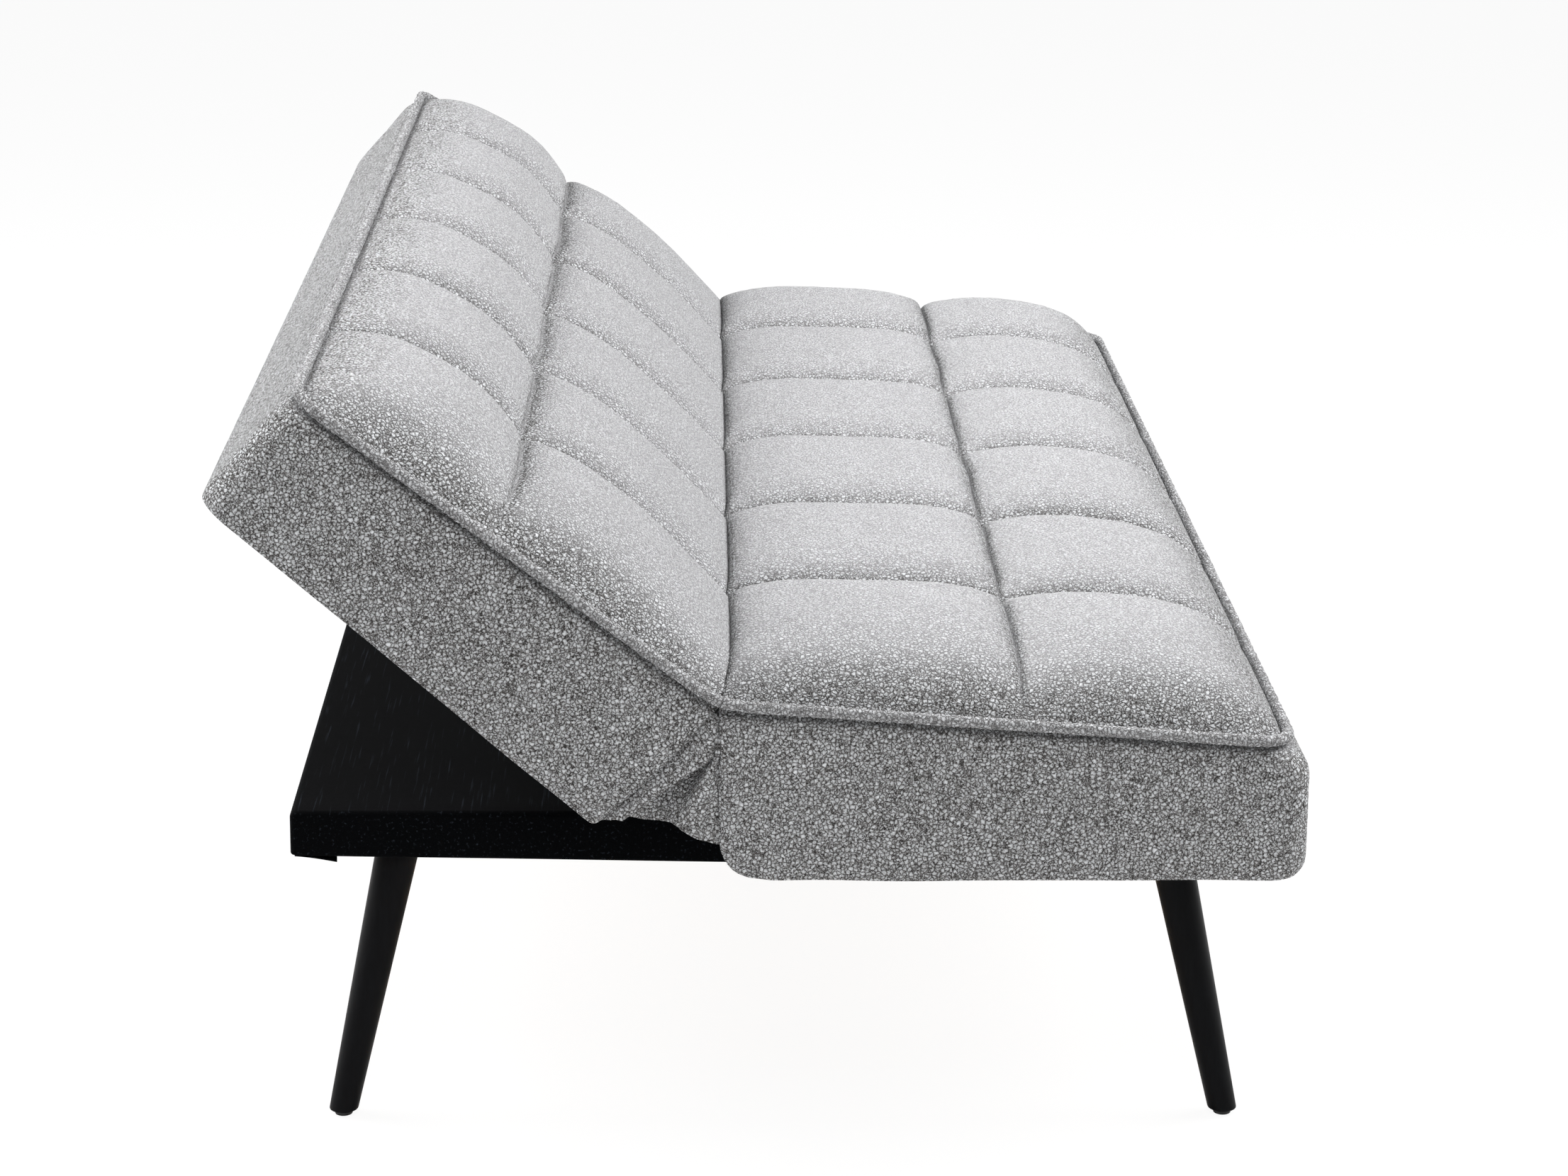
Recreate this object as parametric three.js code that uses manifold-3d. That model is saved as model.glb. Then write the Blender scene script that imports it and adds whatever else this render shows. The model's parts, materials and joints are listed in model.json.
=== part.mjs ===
// Click clack sofa bed: a quilted seat on a covered base with four splayed legs, and a quilted back
// that turns on two ratchet hinges at the crease. Millimetres, +Z up, X along the sofa, front at -Y.
// The crease between seat and back lies at Y = 0 until the sofa is centred over its footprint.

import * as THREE from 'three';
import { mergeVertices } from 'three/addons/utils/BufferGeometryUtils.js';
import Module from 'manifold-3d';

const wasm = await Module();
wasm.setup();

const radians = THREE.MathUtils.degToRad;
const lerp = THREE.MathUtils.lerp;

// Overall sizes
const LENGTH = 1800;
const CREASE_HEIGHT = 428.5;
const ROWS = 6;

// Angles of the back above flat, in degrees
const BACK_REST = 41;
const BACK_UPRIGHT = 68;
const BACK_RELEASE = 76;

// Clearances
const FIT_GAP = 0.3;
const COVER_GAP = 0.5;
const CREASE_GAP = 1;
const CUT_PAST = 5;

// Quilting, shared by seat and back
const QUILT = {
  power: 3.5,
  puff: 30,
  seamRise: 20,
  seamReach: 60,
  rowShares: [0, 0.05, 0.18, 0.5, 0.82, 0.95, 1],
  columnShares: [0, 0.06, 0.22, 0.5, 0.78, 0.94, 1],
  boxingShares: [0.26, 0.81, 1],
};

// Cover and foam, shared by seat and back
const COVER = { thickness: 8, drawnIn: 9, hemIn: 5, weltRadius: 4.5, weltSides: 8, weltOffsetShare: 1.12 };
const FOAM = { notchReach: 75, notchWidth: 50 };

// Seat and back, each from the crease to its far edge
const SEAT = { depth: 515.5, weltDrop: 30.6, seam: 279, height: 167.5, farBulge: 33.5, farHem: 23.5,
  heelRun: 26, heelRise: 33.5 };
const BACK = { depth: 483, weltDrop: 29.4, seam: 269, height: 162.5, farBulge: 15, farHem: 12,
  heelRun: 15, heelRise: 100 };

// Timber frames under the foam
const RAIL = { thickness: 22, topDrop: 78, hemClear: 5, creaseSet: 8 };
const SPRING = { wire: 1.9, swing: 24, waves: 5, stepsPerWave: 4, endSet: 11, sides: 4 };
const DUST_COVER = { thickness: 2, railHeight: 34 };

// Base box under the seat and back: its front stands in from the seat's front
const BASE = { endInset: 70, frontInset: 40.5, rear: 405, bottom: 262, top: 306, skin: 2, lap: 12, edgeRadius: 6,
  roundingShares: [0, 0.5, 1], railWidth: 42, crossWidth: 25, railLift: 3.8, deck: 5 };

// Legs, splayed towards the corners: the tips stand out past the base's front and in from its rear
const LEG = { tipInset: 70, tipAhead: 14, rearInset: 45, splay: 55, topRadius: 21.3, tipRadius: 14,
  boreDepth: 34, sides: 24 };
const GLIDE = { radius: 8.5, height: 5 };
const LEG_PLATE = { size: 54, thickness: 3, holeRadius: 5.2 };
const STUD = { radius: 4, nutRadius: 7.5, nutHeight: 6, showing: 9 };

// Ratchet hinges
const HINGE = { pivotDrop: 20, armThickness: 4, armGap: 0.5, bossRadius: 11, pinRadius: 5, headRadius: 8,
  headThickness: 4, sides: 24 };
const ARM = { footNear: 26, footFar: 150, footTop: 66, footBottom: 116, webReach: 20, webDrop: 50,
  shoulderReach: 64, shoulderDrop: 18, shoulderFoot: 84 };
const RATCHET = { radius: 28, notchDepth: 4, notchSpread: 9, startAngle: 4, endAngle: -84, step: 4 };
const PAWL = { tipAngle: -75, clearance: 0.6, pivotReach: 34, pivotDrop: 42, halfWidth: 4, tail: 14,
  stubRadius: 3.5 };
const PAWL_SPRING = { wire: 0.7, coilRadius: 2.9, turns: 5, length: 15, sides: 5, stepsPerTurn: 8,
  studRadius: 2.5 };
const BOLT = { shankRadius: 4, headRadius: 7, headHeight: 5, grip: 18, places: [62, 132], drop: 91, sides: 12 };

// Gussets that close the ends of the crease, and the strip sewn along inside it
const GUSSET = { thickness: 2.5, inset: 3, valley: 18, topDrop: 24, foldDrop: 43, seatDrop: 132, backDrop: 135,
  hemOut: [22, 40, 55], hemDrop: [127, 112, 101], valleyShares: [0.45, 0.8, 1] };
const STRIP = { thickness: 2, width: 18, topDrop: 13, straightDrop: 46, endInset: 62, centre: 1 };

// Places that follow from the sizes above
const half = LENGTH / 2;
const grooveSlope = Math.tan(radians((180 - BACK_RELEASE) / 2));
const cavityHalf = half - COVER.drawnIn - COVER.thickness;
const backRailOuter = cavityHalf - COVER_GAP;
const backRailInner = backRailOuter - RAIL.thickness;
const backArmOuter = backRailInner - FIT_GAP;
const backArmInner = backArmOuter - HINGE.armThickness;
const seatArmOuter = backArmInner - HINGE.armGap;
const seatArmInner = seatArmOuter - HINGE.armThickness;
const seatRailInner = seatArmOuter + FIT_GAP;
const seatRailOuter = seatRailInner + RAIL.thickness;
const foamCrease = STRIP.width / 2 - STRIP.centre + FIT_GAP;
const baseFront = SEAT.depth - BASE.frontInset;
const legTips = { front: -(baseFront + LEG.tipAhead), rear: BASE.rear - LEG.rearInset };

// The hinge axis in the seat's and the back's own frames, as distance from the crease and height over it
const seatPivot = { out: 0, up: -HINGE.pivotDrop };
const backPivot = { out: -HINGE.pivotDrop * Math.sin(radians(BACK_REST)),
  up: -HINGE.pivotDrop * Math.cos(radians(BACK_REST)) };

const finishes = {
  boucle: { color: 0xc9c9c8, roughness: 0.95, metalness: 0 },
  blackFabric: { color: 0x16171a, roughness: 0.9, metalness: 0 },
  dustFabric: { color: 0x2b2c2f, roughness: 0.95, metalness: 0 },
  foam: { color: 0xe6dcb8, roughness: 0.95, metalness: 0 },
  timber: { color: 0xc8a878, roughness: 0.75, metalness: 0 },
  blackWood: { color: 0x1b1c1f, roughness: 0.4, metalness: 0 },
  steel: { color: 0x8b8e92, roughness: 0.4, metalness: 1 },
  blackPlastic: { color: 0x121214, roughness: 0.5, metalness: 0 },
};

function piece(name, geometry, finish) {
  const mesh = new THREE.Mesh(geometry, new THREE.MeshStandardMaterial(finishes[finish]));
  mesh.name = name;
  return mesh;
}

function toSolid(geometry) {
  const bare = geometry.clone();
  bare.deleteAttribute('normal');
  bare.deleteAttribute('uv');
  const welded = mergeVertices(bare);
  const vertProperties = new Float32Array(welded.attributes.position.array);
  const triVerts = new Uint32Array(welded.index.array);
  return new wasm.Manifold(new wasm.Mesh({ numProp: 3, vertProperties, triVerts }));
}

function toGeometry(solid) {
  const { vertProperties, triVerts } = solid.getMesh();
  const geometry = new THREE.BufferGeometry();
  geometry.setAttribute('position', new THREE.BufferAttribute(vertProperties, 3));
  geometry.setIndex(new THREE.BufferAttribute(triVerts, 1));
  return geometry;
}

function join(...geometries) {
  return toGeometry(geometries.map(toSolid).reduce((whole, next) => whole.add(next)));
}

function cut(geometry, ...cutters) {
  return toGeometry(cutters.map(toSolid).reduce((left, next) => left.subtract(next), toSolid(geometry)));
}

// A closed surface from points and triangles, turned so that its faces point out
function closedSurface(points, triangles) {
  const corners = points.map((point) => new THREE.Vector3(...point));
  const volume = triangles.reduce((sum, [a, b, c]) => (
    sum + corners[a].dot(new THREE.Vector3().crossVectors(corners[b], corners[c]))), 0);
  const outward = volume > 0 ? triangles : triangles.map(([a, b, c]) => [a, c, b]);
  const geometry = new THREE.BufferGeometry();
  geometry.setAttribute('position', new THREE.Float32BufferAttribute(points.flat(), 3));
  geometry.setIndex(outward.flat());
  return geometry;
}

function block([x0, x1], [y0, y1], [z0, z1]) {
  return new THREE.BoxGeometry(x1 - x0, y1 - y0, z1 - z0)
    .translate((x0 + x1) / 2, (y0 + y1) / 2, (z0 + z1) / 2);
}

// An outline in the Y-Z plane, thickened along X between the two places
function plate(outline, [x0, x1], curveSegments = HINGE.sides) {
  const turn = new THREE.Matrix4().makeBasis(
    new THREE.Vector3(0, 1, 0), new THREE.Vector3(0, 0, 1), new THREE.Vector3(1, 0, 0));
  return new THREE.ExtrudeGeometry(outline, { depth: x1 - x0, bevelEnabled: false, curveSegments })
    .applyMatrix4(turn)
    .translate(x0, 0, 0);
}

function polygon(points) {
  return new THREE.Shape(points.map(([y, z]) => new THREE.Vector2(y, z)));
}

// A round bar along X
function barX(radius, [x0, x1], y, z, sides) {
  return new THREE.CylinderGeometry(radius, radius, x1 - x0, sides)
    .rotateZ(Math.PI / 2)
    .translate((x0 + x1) / 2, y, z);
}

function tube(curve, radius, steps, sides) {
  const ring = new THREE.Shape(Array.from({ length: sides }, (_, n) => {
    const angle = (2 * Math.PI * n) / sides;
    return new THREE.Vector2(radius * Math.cos(angle), radius * Math.sin(angle));
  }));
  return new THREE.ExtrudeGeometry(ring, { steps, extrudePath: curve, curveSegments: 1 });
}

// The two faces at these distances from the middle, on the side of the given sign
function onSide(side, inner, outer) {
  return side < 0 ? [-outer, -inner] : [inner, outer];
}

// Quilted surface of a cushion

function crown(share) {
  return 1 - Math.abs(2 * share - 1) ** QUILT.power;
}

function eased(distance) {
  return 1 - (1 - Math.min(1, distance / QUILT.seamReach)) ** 2;
}

function weltHeight(cushion, out) {
  return (-cushion.weltDrop * out) / cushion.depth;
}

// The groove at the crease keeps each cushion behind a plane through the hinge axis
function grooveAt(pivot, up) {
  return pivot.out + (up - pivot.up) / grooveSlope;
}

function gridShares(shares, count) {
  return Array.from({ length: count }, (_, n) => shares.slice(n ? 1 : 0).map((share) => n + share)).flat();
}

function quiltPoint(cushion, pivot, rowPlace, columnPlace) {
  const topHalf = half - COVER.drawnIn;
  const x = lerp(-topHalf, topHalf, rowPlace / ROWS);
  const endRise = QUILT.seamRise * eased(topHalf - Math.abs(x));
  const creaseOut = Math.max(CREASE_GAP, grooveAt(pivot, endRise));
  const inRear = columnPlace <= 1;
  const [near, far] = inRear ? [creaseOut, cushion.seam] : [cushion.seam, cushion.depth];
  const out = lerp(near, far, inRear ? columnPlace : columnPlace - 1);
  const puff = QUILT.puff * crown(rowPlace % 1) * crown(columnPlace % 1);
  const up = weltHeight(cushion, out) + endRise * eased(cushion.depth - out) + puff;
  return [x, out, up];
}

// The boxing under the welt: its four corners at each level, down to the hem
function boxingLevels(cushion, pivot) {
  const farFall = cushion.height - cushion.weltDrop;
  const farUps = QUILT.boxingShares.map((share) => -cushion.weltDrop - share * farFall);
  const farOuts = [cushion.farBulge, cushion.farBulge, cushion.farHem].map((bulge) => cushion.depth + bulge);
  const creaseUps = [pivot.up, cushion.heelRise - cushion.height, -cushion.height];
  const creaseOuts = [CREASE_GAP, CREASE_GAP, cushion.heelRun];
  const halves = [half, half, half - COVER.hemIn];
  return halves.map((levelHalf, n) => ({
    half: levelHalf, creaseOut: creaseOuts[n], creaseUp: creaseUps[n], farOut: farOuts[n], farUp: farUps[n],
  }));
}

function cushionSurface(cushion, pivot) {
  const rows = gridShares(QUILT.rowShares, ROWS);
  const columns = gridShares(QUILT.columnShares, 2);
  const points = columns.flatMap((column) => rows.map((row) => quiltPoint(cushion, pivot, row, column)));
  const at = (r, c) => c * rows.length + r;
  const triangles = [];
  const quad = (a, b, c, d) => triangles.push([a, b, c], [a, c, d]);
  for (let c = 0; c + 1 < columns.length; c += 1) {
    for (let r = 0; r + 1 < rows.length; r += 1) quad(at(r, c), at(r + 1, c), at(r + 1, c + 1), at(r, c + 1));
  }
  const lastRow = rows.length - 1;
  const lastColumn = columns.length - 1;
  const border = [
    ...rows.slice(0, -1).map((_, r) => [r, 0]),
    ...columns.slice(0, -1).map((_, c) => [lastRow, c]),
    ...rows.slice(0, -1).map((_, r) => [lastRow - r, lastColumn]),
    ...columns.slice(0, -1).map((_, c) => [0, lastColumn - c]),
  ];
  let ring = border.map(([r, c]) => at(r, c));
  for (const level of boxingLevels(cushion, pivot)) {
    const start = points.length;
    for (const [r, c] of border) {
      const across = rows[r] / ROWS;
      const outShare = columns[c] / 2;
      points.push([lerp(-level.half, level.half, across), lerp(level.creaseOut, level.farOut, outShare),
        lerp(level.creaseUp, level.farUp, outShare)]);
    }
    const lower = border.map((_, n) => start + n);
    border.forEach((_, n) => {
      const next = (n + 1) % border.length;
      quad(ring[next], ring[n], lower[n], lower[next]);
    });
    ring = lower;
  }
  points.push([0, (cushion.heelRun + cushion.depth) / 2, -cushion.height]);
  const middle = points.length - 1;
  ring.forEach((corner, n) => triangles.push([ring[(n + 1) % ring.length], corner, middle]));
  return closedSurface(points, triangles);
}

// The sewn cover: quilted top, boxing on both ends and the far side, open below and along the crease
function coverGeometry(cushion, pivot) {
  const farInner = cushion.depth - COVER.thickness;
  const hollow = polygon([
    [-CUT_PAST, -COVER.thickness],
    [farInner, weltHeight(cushion, farInner) - COVER.thickness],
    [farInner, -cushion.height - CUT_PAST],
    [-CUT_PAST, -cushion.height - CUT_PAST],
  ]);
  return cut(cushionSurface(cushion, pivot), plate(hollow, [-cavityHalf, cavityHalf]));
}

function foamGeometry(cushion) {
  const top = COVER.thickness + COVER_GAP;
  const bottom = FIT_GAP - RAIL.topDrop + 2 * SPRING.wire + FIT_GAP;
  const far = cushion.depth - COVER.thickness - COVER_GAP;
  const outline = polygon([
    [foamCrease, bottom],
    [far, bottom],
    [far, weltHeight(cushion, far) - top],
    [foamCrease, weltHeight(cushion, foamCrease) - top],
  ]);
  const outer = cavityHalf - COVER_GAP;
  const notches = [-1, 1].map((side) => block(
    onSide(side, outer - FOAM.notchWidth, outer + CUT_PAST),
    [0, FOAM.notchReach], [bottom - CUT_PAST, CUT_PAST]));
  return cut(plate(outline, [-outer, outer]), ...notches);
}

// The welt: a round bead along both end edges and the far edge, outside the cover's top corner
function weltGeometry(cushion, pivot) {
  const shift = ((COVER.weltRadius + FIT_GAP) * COVER.weltOffsetShare) / Math.SQRT2;
  const x = half - COVER.drawnIn + shift;
  const far = cushion.depth + shift;
  const near = Math.max(CREASE_GAP, grooveAt(pivot, shift + COVER.weltRadius)) + COVER.weltRadius;
  const nearUp = weltHeight(cushion, near) + shift;
  const farUp = shift - cushion.weltDrop;
  const corners = [[-x, near, nearUp], [-x, far, farUp], [x, far, farUp], [x, near, nearUp]]
    .map((corner) => new THREE.Vector3(...corner));
  const { weltRadius, weltSides } = COVER;
  const runs = corners.slice(1).map((corner, n) => (
    tube(new THREE.LineCurve3(corners[n], corner), weltRadius, 1, weltSides)));
  const knees = corners.slice(1, -1).map((corner) => (
    new THREE.SphereGeometry(weltRadius, weltSides, weltSides / 2).translate(...corner)));
  return join(...runs, ...knees);
}

// Timber frame of a cushion

function hingeBoltHoles(pivot, [x0, x1], side) {
  const radius = BOLT.shankRadius + FIT_GAP;
  return BOLT.places.map((place) => (
    barX(radius, onSide(side, x0, x1), pivot.out + place, pivot.up - BOLT.drop, BOLT.sides)));
}

function endRail(name, cushion, pivot, side, [inner, outer]) {
  const far = cushion.depth - COVER.thickness - COVER_GAP;
  const rail = block(onSide(side, inner, outer), [RAIL.creaseSet + cushion.heelRun, far],
    [RAIL.hemClear - cushion.height, -RAIL.topDrop]);
  const holes = hingeBoltHoles(pivot, [inner - CUT_PAST, inner + BOLT.grip + FIT_GAP], side);
  return piece(name, cut(rail, ...holes), 'timber');
}

function farRail(name, cushion, inner) {
  const far = cushion.depth - COVER.thickness - COVER_GAP;
  const reach = inner - FIT_GAP;
  return piece(name, block([-reach, reach], [far - RAIL.thickness, far],
    [RAIL.hemClear - cushion.height, -RAIL.topDrop]), 'timber');
}

function creaseRail(name, reach, bottom) {
  return piece(name, block([-reach, reach], [RAIL.creaseSet, RAIL.creaseSet + RAIL.thickness],
    [bottom, -RAIL.topDrop]), 'timber');
}

// Sinuous wires from the crease rail to the far rail, one under each row, held by a rod along each rail
function springDeck(cushion) {
  const up = FIT_GAP + SPRING.wire - RAIL.topDrop;
  const near = RAIL.creaseSet + SPRING.endSet;
  const far = cushion.depth - COVER.thickness - COVER_GAP - SPRING.endSet;
  const pitch = LENGTH / ROWS;
  const wires = Array.from({ length: ROWS }, (_, n) => {
    const centre = (n - (ROWS - 1) / 2) * pitch;
    const steps = SPRING.waves * SPRING.stepsPerWave;
    const points = Array.from({ length: steps + 1 }, (__, k) => new THREE.Vector3(
      centre + SPRING.swing * Math.sin((2 * Math.PI * k) / SPRING.stepsPerWave), lerp(near, far, k / steps), up));
    return tube(new THREE.CatmullRomCurve3(points), SPRING.wire, steps, SPRING.sides);
  });
  const reach = ((ROWS - 1) * pitch) / 2 + SPRING.swing;
  const rods = [near, far].map((out) => barX(SPRING.wire, [-reach, reach], out, up, SPRING.sides));
  return join(...rods, ...wires);
}

function dustCover() {
  const near = RAIL.creaseSet + RAIL.thickness + FIT_GAP;
  const far = BACK.depth - COVER.thickness - COVER_GAP - RAIL.thickness - FIT_GAP;
  const reach = backArmInner - FIT_GAP - BOLT.headHeight - FIT_GAP;
  const top = -RAIL.topDrop - DUST_COVER.railHeight;
  return piece('back_dust_cover', block([-reach, reach], [near, far], [top, top + DUST_COVER.thickness]),
    'dustFabric');
}

// Base box

function baseCover() {
  const x = half - BASE.endInset;
  const rounding = BASE.roundingShares.map((share) => (share * Math.PI) / 2);
  const rings = [
    { inset: 0, z: BASE.bottom },
    ...rounding.map((angle) => ({
      inset: BASE.edgeRadius * (1 - Math.cos(angle)),
      z: BASE.top - BASE.edgeRadius * (1 - Math.sin(angle)),
    })),
  ];
  const corners = ({ inset, z }) => [
    [inset - x, inset - baseFront, z], [x - inset, inset - baseFront, z],
    [x - inset, BASE.rear - inset, z], [inset - x, BASE.rear - inset, z],
  ];
  const points = rings.flatMap(corners);
  const perRing = corners(rings[0]).length;
  const triangles = [];
  rings.slice(1).forEach((_, level) => {
    for (let n = 0; n < perRing; n += 1) {
      const a = level * perRing + n;
      const b = level * perRing + ((n + 1) % perRing);
      triangles.push([a, b, b + perRing], [a, b + perRing, a + perRing]);
    }
  });
  const last = (rings.length - 1) * perRing;
  for (let n = 1; n + 1 < perRing; n += 1) {
    triangles.push([0, n + 1, n], [last, last + n, last + n + 1]);
  }
  const { skin, lap } = BASE;
  const hollow = block([skin - x, x - skin], [skin - baseFront, BASE.rear - skin],
    [BASE.bottom + skin, BASE.top - skin]);
  const opening = block([skin + lap - x, x - skin - lap], [skin + lap - baseFront, BASE.rear - skin - lap],
    [BASE.bottom - CUT_PAST, BASE.bottom + skin + CUT_PAST]);
  return piece('base_cover', cut(closedSurface(points, triangles), hollow, opening), 'blackFabric');
}

function baseFrame() {
  const wall = BASE.skin + FIT_GAP;
  const x = half - BASE.endInset - wall;
  const front = wall - baseFront;
  const rear = BASE.rear - wall;
  const deckTop = BASE.top - wall;
  const railTop = deckTop - BASE.deck - FIT_GAP;
  const heights = [BASE.bottom + BASE.railLift, railTop];
  const inner = x - BASE.railWidth;
  const edge = BASE.edgeRadius - BASE.skin;
  return [
    piece('base_deck', block([edge - x, x - edge], [front + edge, rear - edge], [deckTop - BASE.deck, deckTop]),
      'timber'),
    piece('base_right_rail', block([-x, -inner], [front, rear], heights), 'timber'),
    piece('base_left_rail', block([inner, x], [front, rear], heights), 'timber'),
    piece('base_front_rail', block([FIT_GAP - inner, inner - FIT_GAP], [front, front + BASE.crossWidth], heights),
      'timber'),
    piece('base_rear_rail', block([FIT_GAP - inner, inner - FIT_GAP], [rear - BASE.crossWidth, rear], heights),
      'timber'),
  ];
}

// Legs

// Leans what is centred on the Z axis, so that its tip stands at the corner and its top moves in
function leanMatrix(corner) {
  const rate = LEG.splay / (BASE.bottom - GLIDE.height);
  const tipX = half - LEG.tipInset;
  const tipY = corner.front ? legTips.front : legTips.rear;
  const inwardX = -corner.side * rate;
  const inwardY = corner.front ? rate : -rate;
  return new THREE.Matrix4().set(
    1, 0, inwardX, corner.side * tipX - inwardX * GLIDE.height,
    0, 1, inwardY, tipY - inwardY * GLIDE.height,
    0, 0, 1, 0,
    0, 0, 0, 1);
}

function turned(profile, sides) {
  return new THREE.LatheGeometry(profile.map(([r, z]) => new THREE.Vector2(r, z)), sides).rotateX(Math.PI / 2);
}

function legPieces(corner) {
  const tag = `${corner.front ? 'front' : 'rear'}_${corner.side < 0 ? 'right' : 'left'}`;
  const legTop = BASE.bottom + FIT_GAP;
  const bore = STUD.radius + FIT_GAP;
  const leg = turned([[0, GLIDE.height], [LEG.tipRadius, GLIDE.height], [LEG.topRadius, legTop], [bore, legTop],
    [bore, legTop - LEG.boreDepth], [0, legTop - LEG.boreDepth]], LEG.sides);
  const glide = new THREE.CylinderGeometry(GLIDE.radius, GLIDE.radius, GLIDE.height - FIT_GAP, LEG.sides)
    .rotateX(Math.PI / 2)
    .translate(0, 0, (GLIDE.height - FIT_GAP) / 2);
  const tipPlace = [corner.side * (half - LEG.tipInset), corner.front ? legTips.front : legTips.rear, 0];
  const plateBottom = legTop + FIT_GAP;
  const plateTop = plateBottom + LEG_PLATE.thickness;
  const nutBottom = plateTop + FIT_GAP;
  const studBottom = legTop - LEG.boreDepth + FIT_GAP;
  const stud = turned([[0, studBottom], [STUD.radius, studBottom], [STUD.radius, nutBottom],
    [STUD.nutRadius, nutBottom], [STUD.nutRadius, nutBottom + STUD.nutHeight],
    [STUD.radius, nutBottom + STUD.nutHeight], [STUD.radius, nutBottom + STUD.showing],
    [0, nutBottom + STUD.showing]], BOLT.sides);
  const size = LEG_PLATE.size / 2;
  const hole = new THREE.CylinderGeometry(LEG_PLATE.holeRadius, LEG_PLATE.holeRadius,
    LEG_PLATE.thickness + 2 * CUT_PAST, BOLT.sides).rotateX(Math.PI / 2)
    .translate(0, 0, plateBottom + LEG_PLATE.thickness / 2);
  const leaning = leanMatrix(corner);
  const place = new THREE.Vector3(0, 0, plateBottom).applyMatrix4(leaning);
  const plateBody = block([place.x - size, place.x + size], [place.y - size, place.y + size],
    [plateBottom, plateTop]);
  return [
    piece(`leg_${tag}`, leg.applyMatrix4(leaning), 'blackWood'),
    piece(`glide_${tag}`, glide.translate(...tipPlace), 'blackPlastic'),
    piece(`leg_plate_${tag}`, cut(plateBody, hole.applyMatrix4(leaning)), 'steel'),
    piece(`leg_bolt_${tag}`, stud.applyMatrix4(leaning), 'steel'),
  ];
}

// Ratchet hinges

function bossOutline(points) {
  const outline = new THREE.Shape();
  outline.moveTo(HINGE.bossRadius, 0);
  points.forEach(([a, b]) => outline.lineTo(a, b));
  outline.lineTo(-HINGE.bossRadius, 0);
  outline.absarc(0, 0, HINGE.bossRadius, Math.PI, 0, true);
  return outline;
}

function pivotHole([x0, x1]) {
  return barX(HINGE.pinRadius + FIT_GAP, [x0 - CUT_PAST, x1 + CUT_PAST], 0, 0, HINGE.sides);
}

function armBoltHoles([x0, x1], side) {
  return hingeBoltHoles({ out: 0, up: 0 }, [x0 - CUT_PAST, x1 + CUT_PAST], side);
}

function polar(radius, degrees) {
  return [radius * Math.cos(radians(degrees)), radius * Math.sin(radians(degrees))];
}

// The toothed sector below the hinge axis, with a notch for each position of the back
function ratchetSector() {
  const notches = [0, BACK_REST, BACK_UPRIGHT].map((angle) => PAWL.tipAngle + angle);
  const count = Math.round((RATCHET.startAngle - RATCHET.endAngle) / RATCHET.step);
  const plain = Array.from({ length: count + 1 }, (_, n) => (
    [lerp(RATCHET.startAngle, RATCHET.endAngle, n / count), RATCHET.radius]));
  const reach = RATCHET.notchSpread / 2;
  const clear = plain.filter(([angle]) => notches.every((notch) => Math.abs(angle - notch) > reach));
  const cutIn = notches.flatMap((notch) => [[notch + reach, RATCHET.radius],
    [notch, RATCHET.radius - RATCHET.notchDepth], [notch - reach, RATCHET.radius]]);
  const rim = [...clear, ...cutIn].sort((first, second) => second[0] - first[0]);
  return polygon([[0, 0], ...rim.map(([angle, radius]) => polar(radius, 180 - angle))]);
}

function seatArm(name, side) {
  const faces = onSide(side, seatArmInner, seatArmOuter);
  const outline = bossOutline([[ARM.webReach, -ARM.webDrop], [ARM.footFar, -ARM.footTop],
    [ARM.footFar, -ARM.footBottom], [ARM.footNear, -ARM.footBottom], [0, -RATCHET.radius]]);
  const body = join(plate(outline, faces), plate(ratchetSector(), faces));
  const arm = cut(body, pivotHole(faces), ...armBoltHoles([seatArmInner, seatArmOuter], side));
  return piece(name, arm.translate(0, seatPivot.out, seatPivot.up), 'steel');
}

// The pawl's line from its tip past its own pivot to its tail, in the plane of the hinge
function pawlLine() {
  const tip = new THREE.Vector2(...polar(RATCHET.radius + PAWL.clearance, PAWL.tipAngle));
  const pivot = new THREE.Vector2(PAWL.pivotReach, -PAWL.pivotDrop);
  const along = pivot.clone().sub(tip).normalize();
  const across = new THREE.Vector2(-along.y, along.x);
  const place = (from, alongBy, acrossBy) => (
    from.clone().addScaledVector(along, alongBy).addScaledVector(across, acrossBy));
  const coilOuter = PAWL_SPRING.coilRadius + PAWL_SPRING.wire;
  const springFoot = place(pivot, PAWL.tail - coilOuter, PAWL.halfWidth + FIT_GAP + PAWL_SPRING.wire);
  const stud = place(springFoot, 0,
    PAWL_SPRING.length + PAWL_SPRING.wire + FIT_GAP + PAWL_SPRING.studRadius);
  return { tip, pivot, along, across, place, springFoot, stud };
}

function backArm(name, side) {
  const faces = onSide(side, backArmInner, backArmOuter);
  const outline = bossOutline([[ARM.shoulderReach, -ARM.shoulderDrop], [ARM.shoulderFoot, -ARM.footTop],
    [ARM.footFar, -ARM.footTop], [ARM.footFar, -ARM.footBottom], [ARM.footNear, -ARM.footBottom]]);
  const { pivot, stud } = pawlLine();
  const studBar = barX(PAWL_SPRING.studRadius,
    onSide(side, backArmInner - 2 * (PAWL_SPRING.coilRadius + PAWL_SPRING.wire), backArmOuter), stud.x, stud.y,
    BOLT.sides);
  const stubHole = barX(PAWL.stubRadius + FIT_GAP, onSide(side, backArmInner - CUT_PAST, backArmOuter + CUT_PAST),
    pivot.x, pivot.y, HINGE.sides);
  const body = join(plate(outline, faces), studBar);
  const arm = cut(body, pivotHole(faces), stubHole, ...armBoltHoles([backArmInner, backArmOuter], side));
  return piece(name, arm.translate(0, backPivot.out, backPivot.up), 'steel');
}

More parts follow.
